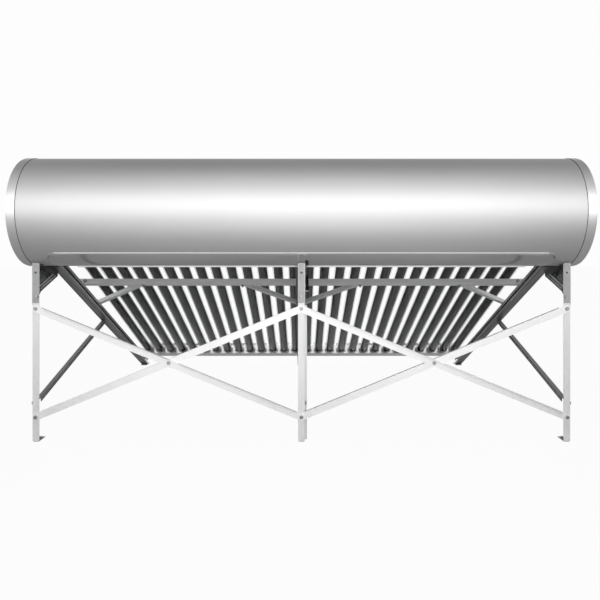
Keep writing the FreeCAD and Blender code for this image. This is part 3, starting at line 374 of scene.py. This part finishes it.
# %% Rubber, plastic and coats
finishes["rubber"] = sheet_finish(
    "Rubber rings", (0.018, 0.018, 0.018), (0.035, 0.035, 0.034), (0.6, 0.8),
    (brushed, (600, 600, 600)), (blotches, (60, 60, 60)), bump=0.3)
finishes["cup_plastic"] = sheet_finish(
    "Moulded cups", (0.68, 0.68, 0.67), (0.78, 0.78, 0.77), (0.38, 0.55),
    (spangle, (900, 900, 900)), (blotches, (40, 40, 40)), bump=0.3)
finishes["absorber"] = sheet_finish(
    "Dark absorber coat", (0.007, 0.007, 0.008), (0.016, 0.016, 0.017), (0.3, 0.45),
    (brushed, (240, 3, 240), 1.0, TUBE_SLOPE), (blotches, (30, 2, 30), 2.0, TUBE_SLOPE),
    bump=0.03, Specular_IOR_Level=0.1)
finishes["getter"] = sheet_finish(
    "Dark getter mirror", (0.06, 0.06, 0.065), (0.16, 0.16, 0.17), (0.08, 0.2),
    (brushed, (60, 60, 60)), (blotches, (70, 30, 70), 3.0), bump=0.02, Metallic=0.9)
print("finishes", len(finishes))

# %% [markdown]
# ## Glass
# The tubes are clear borosilicate, with a wall under two millimetres. Glass wants full
# transmission and a plain metallic of zero. A wall this thin hardly bends what is seen through
# it, so a low index of refraction keeps the tubes' edges bright, where the index of solid glass
# would line them with black. A film of dust that varies along the tube tints it a little, and
# keeps it from looking like empty air. Dust in the gloss would cost many more samples.

# %% Glass finish
glass, tree, shader = new_finish(
    "Borosilicate glass", Roughness=0.0, Metallic=0.0, Transmission_Weight=1.0, IOR=1.035)
dust = add(tree, "Mix", data_type="RGBA")
dust.inputs["A"].default_value = (0.985, 0.99, 0.988, 1)
dust.inputs["B"].default_value = (0.93, 0.938, 0.934, 1)
tree.links.new(effect(tree, blotches, (6, 2, 2), 3.0, TUBE_SLOPE), dust.inputs["Factor"])
tree.links.new(dust.outputs["Result"], shader.inputs["Base Color"])
finishes["clear_glass"] = glass
print("glass", glass.name, "finishes", len(finishes))

# %% [markdown]
# ## Dressing the solids
# The record names a material slot for each node, and most nodes take the finish of that slot.
# Bars, struts, braces and stays share a slot with pieces that look different, so the last word
# of their name picks a finish of their own. A list of nodes by hand would go stale sooner.

# %% Finish every node
OWN_FINISH = {"bar": "bar_steel", "strut": "bar_steel", "brace": "brace_steel", "stay": "stay_steel"}
for part in frame["record"]["subparts"]:
    mesh = nodes[part["node"]].data
    mesh.materials.clear()
    kind = part["node"].split("_")[-1]
    mesh.materials.append(finishes[OWN_FINISH.get(kind, part["material_slot"])])
print("dressed", len(nodes), "nodes")

# %% [markdown]
# The side walls of a rail are painted paler and more streaked than its lips and its underside.
# The paler tone is painted light, for faces that the lamps leave dark. A solid need not be cut
# up for that: it can carry two finishes, and each face takes one by the way its normal points.

# %% Rail sides
SIDEWAYS = 0.9
for name in ("left_rail", "centre_rail", "right_rail"):
    mesh = nodes[name].data
    mesh.materials.append(finishes["rail_side"])
    for face in mesh.polygons:
        face.material_index = int(abs(face.normal.x) > SIDEWAYS)
    print(name, "side faces", sum(face.material_index for face in mesh.polygons))


# %% [markdown]
# ## Turning a profile
# Tubes, bolts and washers are all turned shapes: a line swept round an axis. The helper takes
# the line as pairs of radius and height, and a matrix that says where the axis stands. A Screw
# modifier could do the same, but it turns one object at a time, and a family of bolts is many
# turned shapes in one mesh.

# %% Turned shapes
def ring_of(bm, place, radius, height, steps):
    """Vertices evenly round the local Z axis of the matrix, or one if the radius is zero."""
    turns = [math.tau * i / steps for i in range(steps if radius else 1)]
    return [bm.verts.new(place @ Vector((radius * math.cos(t), radius * math.sin(t), height)))
            for t in turns]


def lathe(bm, profile, steps, place):
    """Sweep (radius, height) points round the local Z axis of the matrix."""
    rings = [ring_of(bm, place, radius, height, steps) for radius, height in profile]
    for low, high in zip(rings, rings[1:]):
        for i in range(steps):
            j = (i + 1) % steps
            corners = [low[i % len(low)], low[j % len(low)], high[j % len(high)], high[i % len(high)]]
            unique = list(dict.fromkeys(corners))
            if len(unique) > 2:
                bm.faces.new(unique)


def facing(point, direction):
    """A matrix whose Z axis points along the direction from the point."""
    turn = Vector(direction).to_track_quat("Z", "Y").to_matrix().to_4x4()
    return Matrix.Translation(point) @ turn


print("turning helpers ready")

# %% [markdown]
# A finished mesh needs the same few steps each time: outward normals, smooth shading, a finish
# and a body to ride on. Where two faces meet at more than the crease angle, the edge stays sharp.
# One helper does it all, so that no piece can miss a step.

# %% From mesh to piece
def finish_piece(name, bm, material, crease=35):
    """Turn a bmesh into an object that rides on the heater."""
    bmesh.ops.recalc_face_normals(bm, faces=bm.faces)
    mesh = bpy.data.meshes.new(name)
    bm.to_mesh(mesh)
    bm.free()
    mesh.shade_smooth()
    mesh.set_sharp_from_angle(angle=math.radians(crease))
    mesh.materials.append(finishes[material])
    piece = bpy.data.objects.new(name, mesh)
    bpy.context.collection.objects.link(piece)
    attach(piece, "root")
    return piece


print("piece helper ready")

# %% [markdown]
# ## The evacuated tubes
# Each tube is two glass tubes, one inside the other, joined at the mouth, with a vacuum between
# them. The inner one carries the dark coat that takes the sun's heat. Both end in a round dome.
# The solids are plain rods and pipes, so two banks of turned tubes stand in for them. One tube
# is turned as a profile, and an array sets out the rest of the bank.

# %% Tube helpers
TUBES = 28
GLASS_R = 0.029
MOUTH = 0.11
TIP = 1.91
DOME_STEPS = 8
bank_low, bank_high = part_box("glass_tubes")
PITCH = (bank_high.x - bank_low.x - 2 * GLASS_R) / (TUBES - 1)
FIRST = Vector((bank_low.x + GLASS_R, AXIS.y, AXIS.z))


def dome(radius, tip):
    """Points of a round end, from the rim to the tip."""
    angles = [math.pi / 2 * i / DOME_STEPS for i in range(DOME_STEPS)]
    return [(radius * math.cos(a), tip - radius + radius * math.sin(a)) for a in angles] + [(0, tip)]


def tube_bank(name, profile, steps, material, node=None):
    """One turned tube, repeated along the tank."""
    bm = bmesh.new()
    lathe(bm, profile, steps, facing(FIRST, DOWN_TUBE))
    bank = finish_piece(name, bm, material)
    row = bank.modifiers.new("Bank", "ARRAY")
    row.count = TUBES
    row.use_relative_offset = False
    row.use_constant_offset = True
    row.constant_offset_displace = (PITCH, 0, 0)
    if node:
        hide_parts(node)


print("tubes", TUBES, "pitch", round(PITCH, 4))

# %% [markdown]
# The glass is a shell with a real wall, since light has to pass both of its faces: the profile
# runs down the outside, round the dome and back up the inside. The coated tube is closed, and
# stops a finger's width before the glass does.

# %% Glass and absorber
WALL = 0.0018
COAT_R = 0.0235
COAT_BACK = 0.014
NEAR, MIDDLE = 0.4, 1.0
outer = [(GLASS_R, MOUTH), (GLASS_R, NEAR), (GLASS_R, MIDDLE)] + dome(GLASS_R, TIP)
inner = dome(GLASS_R - WALL, TIP - WALL)[::-1]
inner += [(GLASS_R - WALL, MIDDLE), (GLASS_R - WALL, MOUTH), (GLASS_R, MOUTH)]
tube_bank("Glass_tubes", outer + inner, 40, "clear_glass", "glass_tubes")
coat = [(0, MOUTH), (COAT_R, MOUTH), (COAT_R, NEAR), (COAT_R, MIDDLE)]
coat += dome(COAT_R, TIP - COAT_BACK)
tube_bank("Absorber_tubes", coat, 32, "absorber", "absorber_tubes")
print("tube length", round(TIP - MOUTH, 3), "glass and coat radius", GLASS_R, COAT_R)

# %% [markdown]
# A little metal is boiled off inside each tube's foot to mop up stray gas. It settles on the
# glass as a dark mirror that covers the dome. A thin cup just inside the glass stands for it.

# %% Getter mirrors
FILM_IN = 0.0022
FILM_THICK = 0.0004
FILM_LONG = 0.042
film = [(GLASS_R - FILM_IN, TIP - FILM_LONG)] + dome(GLASS_R - FILM_IN, TIP - FILM_IN)
lining = [(r - FILM_THICK, h) for r, h in film[:-1]] + [(0, film[-1][1] - FILM_THICK)]
tube_bank("Getter_mirrors", film + lining[::-1] + film[:1], 32, "getter")
print("getter mirrors", TUBES)


# %% [markdown]
# ## Bolts
# The stand is bolted with hexagon bolts: a head with a chamfered top, a washer under it, and a
# nut with a little thread beyond it on the far side. They could be one object each, but the
# stand has dozens, so each family is one mesh that holds a copy at every place. The sizes are
# those of an M8 bolt, in metres, with a head measured over its corners.

# %% Bolt shape
WASHER_R = 0.008
WASHER_THICK = 0.0015
WASHER_EDGE = 0.0004
HEAD_R = 0.0073
HEAD_HIGH = 0.0053
NUT_HIGH = 0.006
CHAMFER = 0.0008
CROWN = 0.9
CORE_R = 0.0036
THREAD_DEEP = 0.0004
THREAD_STEP = 0.0006


def hexagon(bm, place, radius, low, high):
    """A hexagonal prism whose top corners are turned off."""
    rows = [(radius, low), (radius, high - CHAMFER), (radius * CROWN, high)]
    rings = [ring_of(bm, place, r, h, 6) for r, h in rows]
    for below, above in zip(rings, rings[1:]):
        for i in range(6):
            j = (i + 1) % 6
            bm.faces.new([below[i], below[j], above[j], above[i]])
    bm.faces.new(rings[-1])
    bm.faces.new(rings[0][::-1])


def bolt(bm, point, direction, grip, washer, head):
    """One bolt whose head stands on the point; its nut is the grip's length behind, if any."""
    sides = [(facing(point, direction), HEAD_HIGH)]
    if grip:
        far_side = facing(point - direction.normalized() * grip, -direction)
        sides.append((far_side, NUT_HIGH))
        start = WASHER_THICK + NUT_HIGH
        thread = [(CORE_R + THREAD_DEEP * (i % 2), start + THREAD_STEP * i) for i in range(8)]
        lathe(bm, [(0, start)] + thread + [(0, thread[-1][1])], 14, far_side)
    ring = [(0, 0), (washer, 0), (washer, 0.001), (washer - WASHER_EDGE, WASHER_THICK), (0, WASHER_THICK)]
    for side, height in sides:
        lathe(bm, ring, 20, side)
        hexagon(bm, side, head, WASHER_THICK, WASHER_THICK + height)


def bolt_family(name, spots, washer=WASHER_R, head=HEAD_R):
    """One mesh with a bolt at every (point, direction, grip)."""
    bm = bmesh.new()
    for point, direction, grip in spots:
        bolt(bm, Vector(point), Vector(direction), grip, washer, head)
    finish_piece(name, bm, "bolt_zinc", crease=25)
    print(name, len(spots))


print("bolt helpers ready")

# %% [markdown]
# The braces cross in pairs behind the legs. One bolt holds each brace's end to a leg, one ties
# each pair where its braces cross, and one more sits low in every leg head, on the outer legs a
# little nearer the middle. They all point backwards, so they need no more than X and a height.

# %% Bolts through the legs and braces
BACK = Vector((0, -1, 0))
BRACE_TOP = 0.556
BRACE_LOW = 0.103
HEAD_BOLT_UP = 0.028
HEAD_BOLT_SHARE = 0.9955
HEAD_GRIP = 0.0045
head_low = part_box("left_leg_head")[0]
brace_low, brace_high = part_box("left_front_brace")
brace_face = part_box("left_back_brace")[0].y - SHEET
cross_x = (brace_low.x + brace_high.x) / 2
cross_z = (BRACE_TOP + BRACE_LOW) / 2
leg_boxes = [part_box(name) for name in ("left_leg", "centre_leg_head", "right_leg")]
LEG_X = [(low.x + high.x) / 2 for low, high in leg_boxes]
spots = [((x, brace_face, z), BACK, 3 * SHEET) for x in LEG_X for z in (BRACE_TOP, BRACE_LOW)]
spots += [((side * cross_x, brace_face, cross_z), BACK, 2 * SHEET) for side in (-1, 1)]
head_z = head_low.z + HEAD_BOLT_UP
spots += [((x * HEAD_BOLT_SHARE, head_low.y, head_z), BACK, HEAD_GRIP) for x in LEG_X]
bolt_family("Brace_bolts", spots)

# %% [markdown]
# Other bolts run across the frames: through each leg's flange into the stay, through the cradle
# into the rail's web, and from below through the stay's tab into the rail. A list of frames,
# each with the X of its plate and the side that the plate is on, serves all of them.

# %% Bolts through the frames
CRADLE = 0.0025
STAY_BOLT_Z = 0.16
CRADLE_BOLTS = (0.128, 0.166)
TAB_FORWARD = 0.816
TAB_IN = 0.009
leg_y = AXIS.y - 0.0755
FRAMES = [(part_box("left_rail")[0].x, -1), (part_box("centre_rail")[1].x, 1),
          (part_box("right_rail")[1].x, 1)]
spots = []
for face, side in FRAMES:
    out = Vector((side, 0, 0))
    spots.append(((face, leg_y, STAY_BOLT_Z), out, 2 * SHEET))
    for forward in CRADLE_BOLTS:
        spots.append((on_rail(face + side * CRADLE, forward, RAIL_SIZE / 2), out, CRADLE + SHEET))
    tab = on_rail(face - side * TAB_IN, TAB_FORWARD, 0) - OFF_RAIL * SHEET
    spots.append((tab, -OFF_RAIL, 2 * SHEET))
bolt_family("Frame_bolts", spots)

# %% [markdown]
# The cradles are riveted to the legs, since a bolt's head would stand out past the narrow leg.
# A rivet is a low button on both faces of the joint, turned like everything else that is round.

# %% Rivets between cradles and legs
RIVET_HEIGHTS = (0.6, 0.65, 0.7)
button = [(0, 0.0024), (0.0034, 0.0021), (0.0056, 0.0012), (0.0064, 0), (0, 0)]
bm = bmesh.new()
for face, side in FRAMES:
    for z in RIVET_HEIGHTS:
        lathe(bm, button, 20, facing((face + side * CRADLE, leg_y, z), (side, 0, 0)))
        lathe(bm, button, 20, facing((face - side * SHEET, leg_y, z), (-side, 0, 0)))
finish_piece("Cradle_rivets", bm, "bolt_zinc")
print("rivets", len(RIVET_HEIGHTS) * len(FRAMES))

# %% [markdown]
# The cradle is pressed, not flat: ribs run along its lower edge to stiffen it where the tank's
# weight tries to bend it. Each rib is a half-round bead, made by sweeping a small arc along a
# line, with its ends drawn down into the sheet. The knee and the nose are the two ends of that
# edge. A rib is given by its height above the edge, by how far it starts past the knee and ends
# short of the nose, and by its radius.

# %% Cradle ribs
KNEE = Vector((0, -0.757, 0.623))
NOSE = Vector((0, -0.573, 0.682))
RIBS = ((0.012, 0.006, 0.02, 0.003), (0.027, -0.008, 0.045, 0.004))
STATIONS = ((0, 0.05), (0.015, 0.6), (0.05, 1), (0.95, 1), (0.985, 0.6), (1, 0.05))
HALF_TURN = [math.pi * i / 8 for i in range(9)]
edge = (NOSE - KNEE).normalized()
above = Vector((0, -edge.z, edge.y))


def rib(bm, face, side, start, end, radius):
    """A half-round bead on a sheet at X = face, raised towards the inside of the heater."""
    across = (end - start).normalized()
    up = Vector((0, -across.z, across.y))
    rows = []
    for t, swell in STATIONS:
        middle = start.lerp(end, t) + Vector((face, 0, 0))
        inward = Vector((-side * swell * radius, 0, 0))
        rows.append([bm.verts.new(middle + up * radius * math.cos(a) + inward * math.sin(a))
                     for a in HALF_TURN])
    for here, there in zip(rows, rows[1:]):
        for i in range(8):
            bm.faces.new([here[i], here[i + 1], there[i + 1], there[i]])


bm = bmesh.new()
for face, side in FRAMES:
    for lift, near, far, radius in RIBS:
        rib(bm, face, side, KNEE + above * lift + edge * near, NOSE + above * lift - edge * far, radius)
# The pale rib finish paints a highlight along each rib.
finish_piece("Cradle_ribs", bm, "highlight_rib", crease=60)
print("ribs", len(RIBS) * len(FRAMES))

# %% [markdown]
# One bar lies across the rails, and four flat struts brace it against them. The bar's bolts go
# through its upright flange, along the slope. The struts' bolts go straight down, through rail
# or bar. Each row of bolts shares one distance in front of the tank, so only X changes in it.

# %% Bolts of the cross bar and its struts
BAR_FORWARD = 0.406
BAR_RISE = 0.014
BAR_END = 0.043
STRUT_ON_RAIL = 0.679
STRUT_ON_BAR = 0.4215
CENTRE_PAIR = (0.034, 0.006)
BAR_SPOTS = (-0.790, -0.294, 0.294, 0.790)
bar_low, bar_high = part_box("cross_bar")
left_x, centre_x, right_x = (face for face, side in FRAMES)
on_top = RAIL_SIZE + 2 * SHEET
spots = []
for x in (bar_low.x + BAR_END, -RAIL_SIZE / 2, RAIL_SIZE / 2, bar_high.x - BAR_END):
    spots.append((on_rail(x, BAR_FORWARD, RAIL_SIZE + BAR_RISE), ALONG_RAIL, SHEET))
strut_feet = [left_x + RAIL_SIZE / 2] + [centre_x - back for back in CENTRE_PAIR]
for x in strut_feet + [right_x - RAIL_SIZE / 2]:
    spots.append((on_rail(x, STRUT_ON_RAIL, on_top), OFF_RAIL, 3 * SHEET))
for x in BAR_SPOTS:
    spots.append((on_rail(x, STRUT_ON_BAR, on_top), OFF_RAIL, 2 * SHEET))
bolt_family("Bar_bolts", spots)

# %% [markdown]
# Each foot is held down by an anchor, a size larger than the stand's own bolts. Only its head
# and washer show, since the rest is in the roof, so these have no grip and no nut.

# %% Anchors in the feet
LEG_BACK = 0.088
REAR_HOLE = 0.043
TOE_HOLE = 0.04
ANCHOR_WASHER_R = 0.0105
ANCHOR_HEAD_R = 0.0092
UP = (0, 0, 1)
rear_y = AXIS.y - LEG_BACK + REAR_HOLE
spots = [((x, y, FOOT), UP, 0) for x in LEG_X for y in (rear_y, toe_y + TOE_HOLE)]
bolt_family("Anchor_bolts", spots, ANCHOR_WASHER_R, ANCHOR_HEAD_R)


# %% [markdown]
# ## Threaded stubs
# The pipes that come out of the end caps carry a pipe thread for the plumber's fittings. A
# thread is a helix, but at this size plain ridges turned on the pipe read the same, and the
# same turning helper makes them. Each pipe has a shoulder where its thread begins.

# %% Stubs
THREADED = 0.042
RIDGE = 0.0009
GROOVE = 0.0012


def threaded_stub(node, side, bore, name):
    """A pipe with a shoulder, a ridged end beyond it, and an open bore."""
    low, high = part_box(node)
    outer_end = high.x if side > 0 else -low.x
    length = high.x - low.x
    shoulder = (high.z - low.z) / 2
    radius = shoulder - 0.0015
    start = Vector((side * (outer_end - length), (low.y + high.y) / 2, (low.z + high.z) / 2))
    collar = length - THREADED
    profile = [(bore, 0), (radius, 0), (radius, collar - 0.002), (shoulder, collar - 0.001)]
    profile += [(shoulder, collar + 0.0035), (shoulder - 0.0006, collar + 0.004)]
    profile += [(radius - GROOVE, collar + 0.0042)]
    first = collar + 0.006
    ridges = int((length - 0.001 - first) / RIDGE)
    profile += [(radius - (GROOVE if i % 2 else 0.0002), first + RIDGE * i) for i in range(ridges)]
    profile += [(radius - 0.0014, length), (bore, length), (bore, 0)]
    bm = bmesh.new()
    lathe(bm, profile, 36, facing(start, (side, 0, 0)))
    stub = finish_piece(name, bm, "fitting", crease=50)
    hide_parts(node)


threaded_stub("cold_inlet", -1, 0.0095, "Inlet_stub")
threaded_stub("hot_outlet", 1, 0.0095, "Outlet_stub")
threaded_stub("vent_stub", -1, 0.0075, "Vent_pipe")
print("stubs", 3)

# %% [markdown]
# Where metal meets metal on the tank's ends, rain must stay out. A rubber ring is pressed round
# every pipe. It is turned from a rounded outline, as wide as the pipe's own box says.

# %% Rings round the pipes
PORTS = {"cold_inlet": -1, "hot_outlet": 1, "vent_stub": -1,
         "immersion_heater": 1, "sensor_pocket": -1}
PORT_GAP = 0.0003
left_cap, right_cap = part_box("left_cap"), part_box("right_cap")
bm = bmesh.new()
for name, side in PORTS.items():
    low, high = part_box(name)
    hole = (high.z - low.z) / 2 + PORT_GAP
    ring = [(hole, 0), (hole + 0.006, 0), (hole + 0.0056, 0.0016), (hole + 0.0038, 0.0028),
            (hole + 0.0016, 0.003), (hole, 0.0022), (hole, 0)]
    cap_x = left_cap[0].x if side < 0 else right_cap[1].x
    middle = Vector((cap_x, (low.y + high.y) / 2, (low.z + high.z) / 2))
    lathe(bm, ring, 40, facing(middle, (side, 0, 0)))
finish_piece("Port_rings", bm, "rubber")
print("port rings", len(PORTS))

# %% [markdown]
# A fine dark bead closes the line where each end cap slips over the jacket. Its darkness is
# painted shade, standing in for the shade in the narrow gap between cap and jacket. It could
# be a dark line painted in the finish, but a real bead catches light along its crown. Its foot
# sinks a little into the jacket, so that no light gets between them.

# %% Painted shade at the caps
CAP_EDGES = ((left_cap[1].x, 1), (right_cap[0].x, -1))
foot_r = SHELL_R - 0.0004
bead = [(foot_r, 0), (SHELL_R + 0.0015, 0), (SHELL_R + 0.001, 0.0012), (foot_r, 0.002), (foot_r, 0)]
bm = bmesh.new()
for cap_edge, side in CAP_EDGES:
    lathe(bm, bead, 180, facing((cap_edge, AXIS.y, AXIS.z), (side, 0, 0)))
# The dark rubber finish on this bead is painted shade for the gap at each cap's edge.
finish_piece("Cap_gap_shade", bm, "rubber")
print("gap shade beads at", [round(x, 4) for x, side in CAP_EDGES])

# %% [markdown]
# ## The jacket's long seam
# The jacket is one sheet bent round, and its two long edges are hooked together and pressed
# into a lock seam that stands a few millimetres proud under the tank. It is a thin strip with a
# rounded fold at the bottom, and it stops on each side of the middle cradle. It is painted as pale
# as the braces: a painted highlight for the light that an edge standing out like this catches from below.

# %% Lock seam
SEAM_END = 0.965
SEAM_LOW = SHELL_R + 0.0065
SEAM_ROOT = SHELL_R - 0.001
SEAM_R = 0.0012
LEFT_GAP, RIGHT_GAP = 0.006, 0.008
seam_y = AXIS.y - 0.004
turns = [math.pi * i / 6 for i in range(7)]
fold = [(-SEAM_R, SEAM_ROOT)]
fold += [(-SEAM_R * math.cos(a), SEAM_LOW - SEAM_R + SEAM_R * math.sin(a)) for a in turns]
fold += [(SEAM_R, SEAM_ROOT)]
bm = bmesh.new()
for start, end in ((-SEAM_END, centre_x - LEFT_GAP), (centre_x + RIGHT_GAP, SEAM_END)):
    ends = [[bm.verts.new((x, seam_y + y, AXIS.z - z)) for y, z in fold] for x in (start, end)]
    for i in range(len(fold)):
        j = (i + 1) % len(fold)
        bm.faces.new([ends[0][i], ends[0][j], ends[1][j], ends[1][i]])
    bm.faces.new(ends[0])
    bm.faces.new(ends[1])
# The pale brace finish on the seam is a painted highlight.
finish_piece("Lock_seam", bm, "brace_steel", crease=50)
print("seam from", -SEAM_END, "to", SEAM_END)

# %% [markdown]
# ## Rounded folds
# Folded sheet never has a knife edge: each fold and each sheared edge catches a thin line of
# light. A bevel modifier adds that line to the stand's bars, and leaves the solids themselves as
# they are.

# %% Soften the bars
FOLDED = [name for name in nodes if name.endswith(("_leg", "_rail", "_brace", "_strut", "_stay"))]
FOLDED += ["cross_bar", "tail_tray"]
for name in FOLDED:
    bend = nodes[name].modifiers.new("Fold", "BEVEL")
    bend.width = 0.0007
    bend.segments = 2
    bend.limit_method = "ANGLE"
    bend.angle_limit = math.radians(50)
    bend.harden_normals = True
print("softened", len(FOLDED))

# %% [markdown]
# ## Floor
# The heater stands on a pale floor in a white surrounding. One large face is enough for it. It
# lies a millimetre under the feet, so that the two never fight for the same place.

# %% Floor
bm = bmesh.new()
bmesh.ops.create_grid(bm, x_segments=1, y_segments=1, size=30)
floor_mesh = bpy.data.meshes.new("Floor")
bm.to_mesh(floor_mesh)
bm.free()
floor = bpy.data.objects.new("Floor", floor_mesh)
floor.location = (0, 0, -0.001)
bpy.context.collection.objects.link(floor)
print("floor", [round(v, 1) for v in floor.dimensions])


# %% [markdown]
# To both sides the floor is painted darker, the way black cloth is laid out in a studio, so that
# the tank's ends, which mirror it, keep a dark lower edge. The camera hardly sees that: what it
# sees is mostly plain white, and so is what shows through the glass. Steel sees a little of the
# white. The rest is paint, which takes the heater's shadow.

# %% Floor paint
def smooth_step(tree, start, end, low, high):
    """A value that goes smoothly from low to high while its input goes from start to end."""
    step = add(tree, "MapRange", interpolation_type="SMOOTHSTEP")
    for socket, value in (("From Min", start), ("From Max", end), ("To Min", low), ("To Max", high)):
        step.inputs[socket].default_value = value
    return step


paint, tree, shader = new_finish("Pale floor", Roughness=0.9)
place = add(tree, "TexCoord")
sideways = add(tree, "SeparateXYZ")
aside = add(tree, "Math", operation="ABSOLUTE")
tone = smooth_step(tree, 0.7, 1.5, 0.55, 0.27)
tree.links.new(place.outputs["Object"], sideways.inputs[0])
tree.links.new(sideways.outputs["X"], aside.inputs[0])
tree.links.new(aside.outputs[0], tone.inputs["Value"])
tree.links.new(tone.outputs[0], shader.inputs["Base Color"])
floor_mesh.materials.append(paint)
print("paint", paint.name)

# %% [markdown]
# Which share of the floor is plain white depends on who looks: Light Path tells camera rays, rays
# through glass and mirrored rays apart. A Mix Shader lays that share of white over the paint.

# %% Floor seen white
WHITE_SHARE = 0.96
WHITE_IN_STEEL = 0.1
path = add(tree, "LightPath")
seen = add(tree, "Math", operation="MAXIMUM")
gleam = add(tree, "Math", operation="MULTIPLY")
gleam.inputs[1].default_value = WHITE_IN_STEEL
either = add(tree, "Math", operation="MAXIMUM")
share = add(tree, "Math", operation="MULTIPLY")
share.inputs[1].default_value = WHITE_SHARE
white = add(tree, "Emission")
blend = add(tree, "MixShader")
tree.links.new(path.outputs["Is Camera Ray"], seen.inputs[0])
tree.links.new(path.outputs["Is Transmission Ray"], seen.inputs[1])
tree.links.new(path.outputs["Is Glossy Ray"], gleam.inputs[0])
tree.links.new(seen.outputs[0], either.inputs[0])
tree.links.new(gleam.outputs[0], either.inputs[1])
tree.links.new(either.outputs[0], share.inputs[0])
tree.links.new(share.outputs[0], blend.inputs[0])
tree.links.new(shader.outputs[0], blend.inputs[1])
tree.links.new(white.outputs[0], blend.inputs[2])
tree.links.new(blend.outputs[0], tree.nodes["Material Output"].inputs["Surface"])
print("white share", WHITE_SHARE, "in steel", WHITE_SHARE * WHITE_IN_STEEL)

# %% [markdown]
# ## Surroundings
# Polished steel looks like whatever stands round it, so the surroundings are part of its finish.
# The camera, and the rays through glass, see an even white. Steel mirrors white near the horizon
# and grey overhead, which gives the tank its dark upper edge. As a light, the world is dim, so
# that the lamps shape the heater. An image of a studio would do the same, but this needs no file.

# %% World
SEEN_WHITE = 0.985
AS_LIGHT = 0.4
world = bpy.data.worlds.new("Surroundings")
bpy.context.scene.world = world
world.use_nodes = True
tree = world.node_tree
backdrop = tree.nodes["Background"]
direction = add(tree, "TexCoord")
split = add(tree, "SeparateXYZ")
height = smooth_step(tree, 0.15, 0.75, 0.95, 0.22)
path = add(tree, "LightPath")
plain = add(tree, "Math", operation="MAXIMUM")
mirrored = add(tree, "Mix", data_type="FLOAT")
mirrored.inputs["A"].default_value = AS_LIGHT
strength = add(tree, "Mix", data_type="FLOAT")
strength.inputs["B"].default_value = SEEN_WHITE
tree.links.new(direction.outputs["Generated"], split.inputs[0])
tree.links.new(split.outputs["Z"], height.inputs["Value"])
tree.links.new(path.outputs["Is Glossy Ray"], mirrored.inputs["Factor"])
tree.links.new(height.outputs[0], mirrored.inputs["B"])
tree.links.new(path.outputs["Is Camera Ray"], plain.inputs[0])
tree.links.new(path.outputs["Is Transmission Ray"], plain.inputs[1])
tree.links.new(plain.outputs[0], strength.inputs["Factor"])
tree.links.new(mirrored.outputs["Result"], strength.inputs["A"])
tree.links.new(strength.outputs["Result"], backdrop.inputs["Strength"])
backdrop.inputs["Color"].default_value = (1, 1, 1, 1)
print("world", world.name)


# %% [markdown]
# ## Lamps
# Three soft panels light the heater. The broad one behind the camera puts the long bright band on
# the tank, and a smaller one hangs overhead. A low one lies on the floor and lights the stand and
# the tank's belly from below. Large panels give the wide, even bands that round steel needs,
# where small lamps would leave hard spots.

# %% Lamps
def panel(name, place, aim, width, depth, power):
    """A soft rectangular lamp that looks at a point."""
    data = bpy.data.lights.new(name, "AREA")
    data.shape = "RECTANGLE"
    data.size = width
    data.size_y = depth
    data.energy = power
    lamp = bpy.data.objects.new(name, data)
    lamp.location = place
    lamp.visible_camera = False
    lamp.rotation_euler = (Vector(aim) - Vector(place)).to_track_quat("-Z", "Y").to_euler()
    bpy.context.collection.objects.link(lamp)
    print(name, power, "W")


tank = (0, AXIS.y, 0.9)
panel("Main panel", (0, -6.2, 2.15), tank, width=8.0, depth=4.2, power=166)
panel("Ceiling panel", (0, -2.8, 4.2), tank, width=5.0, depth=2.4, power=24)
panel("Floor card", (0, -2.7, 0.01), (0, -2.7, 1), width=2.8, depth=1.5, power=9.5)
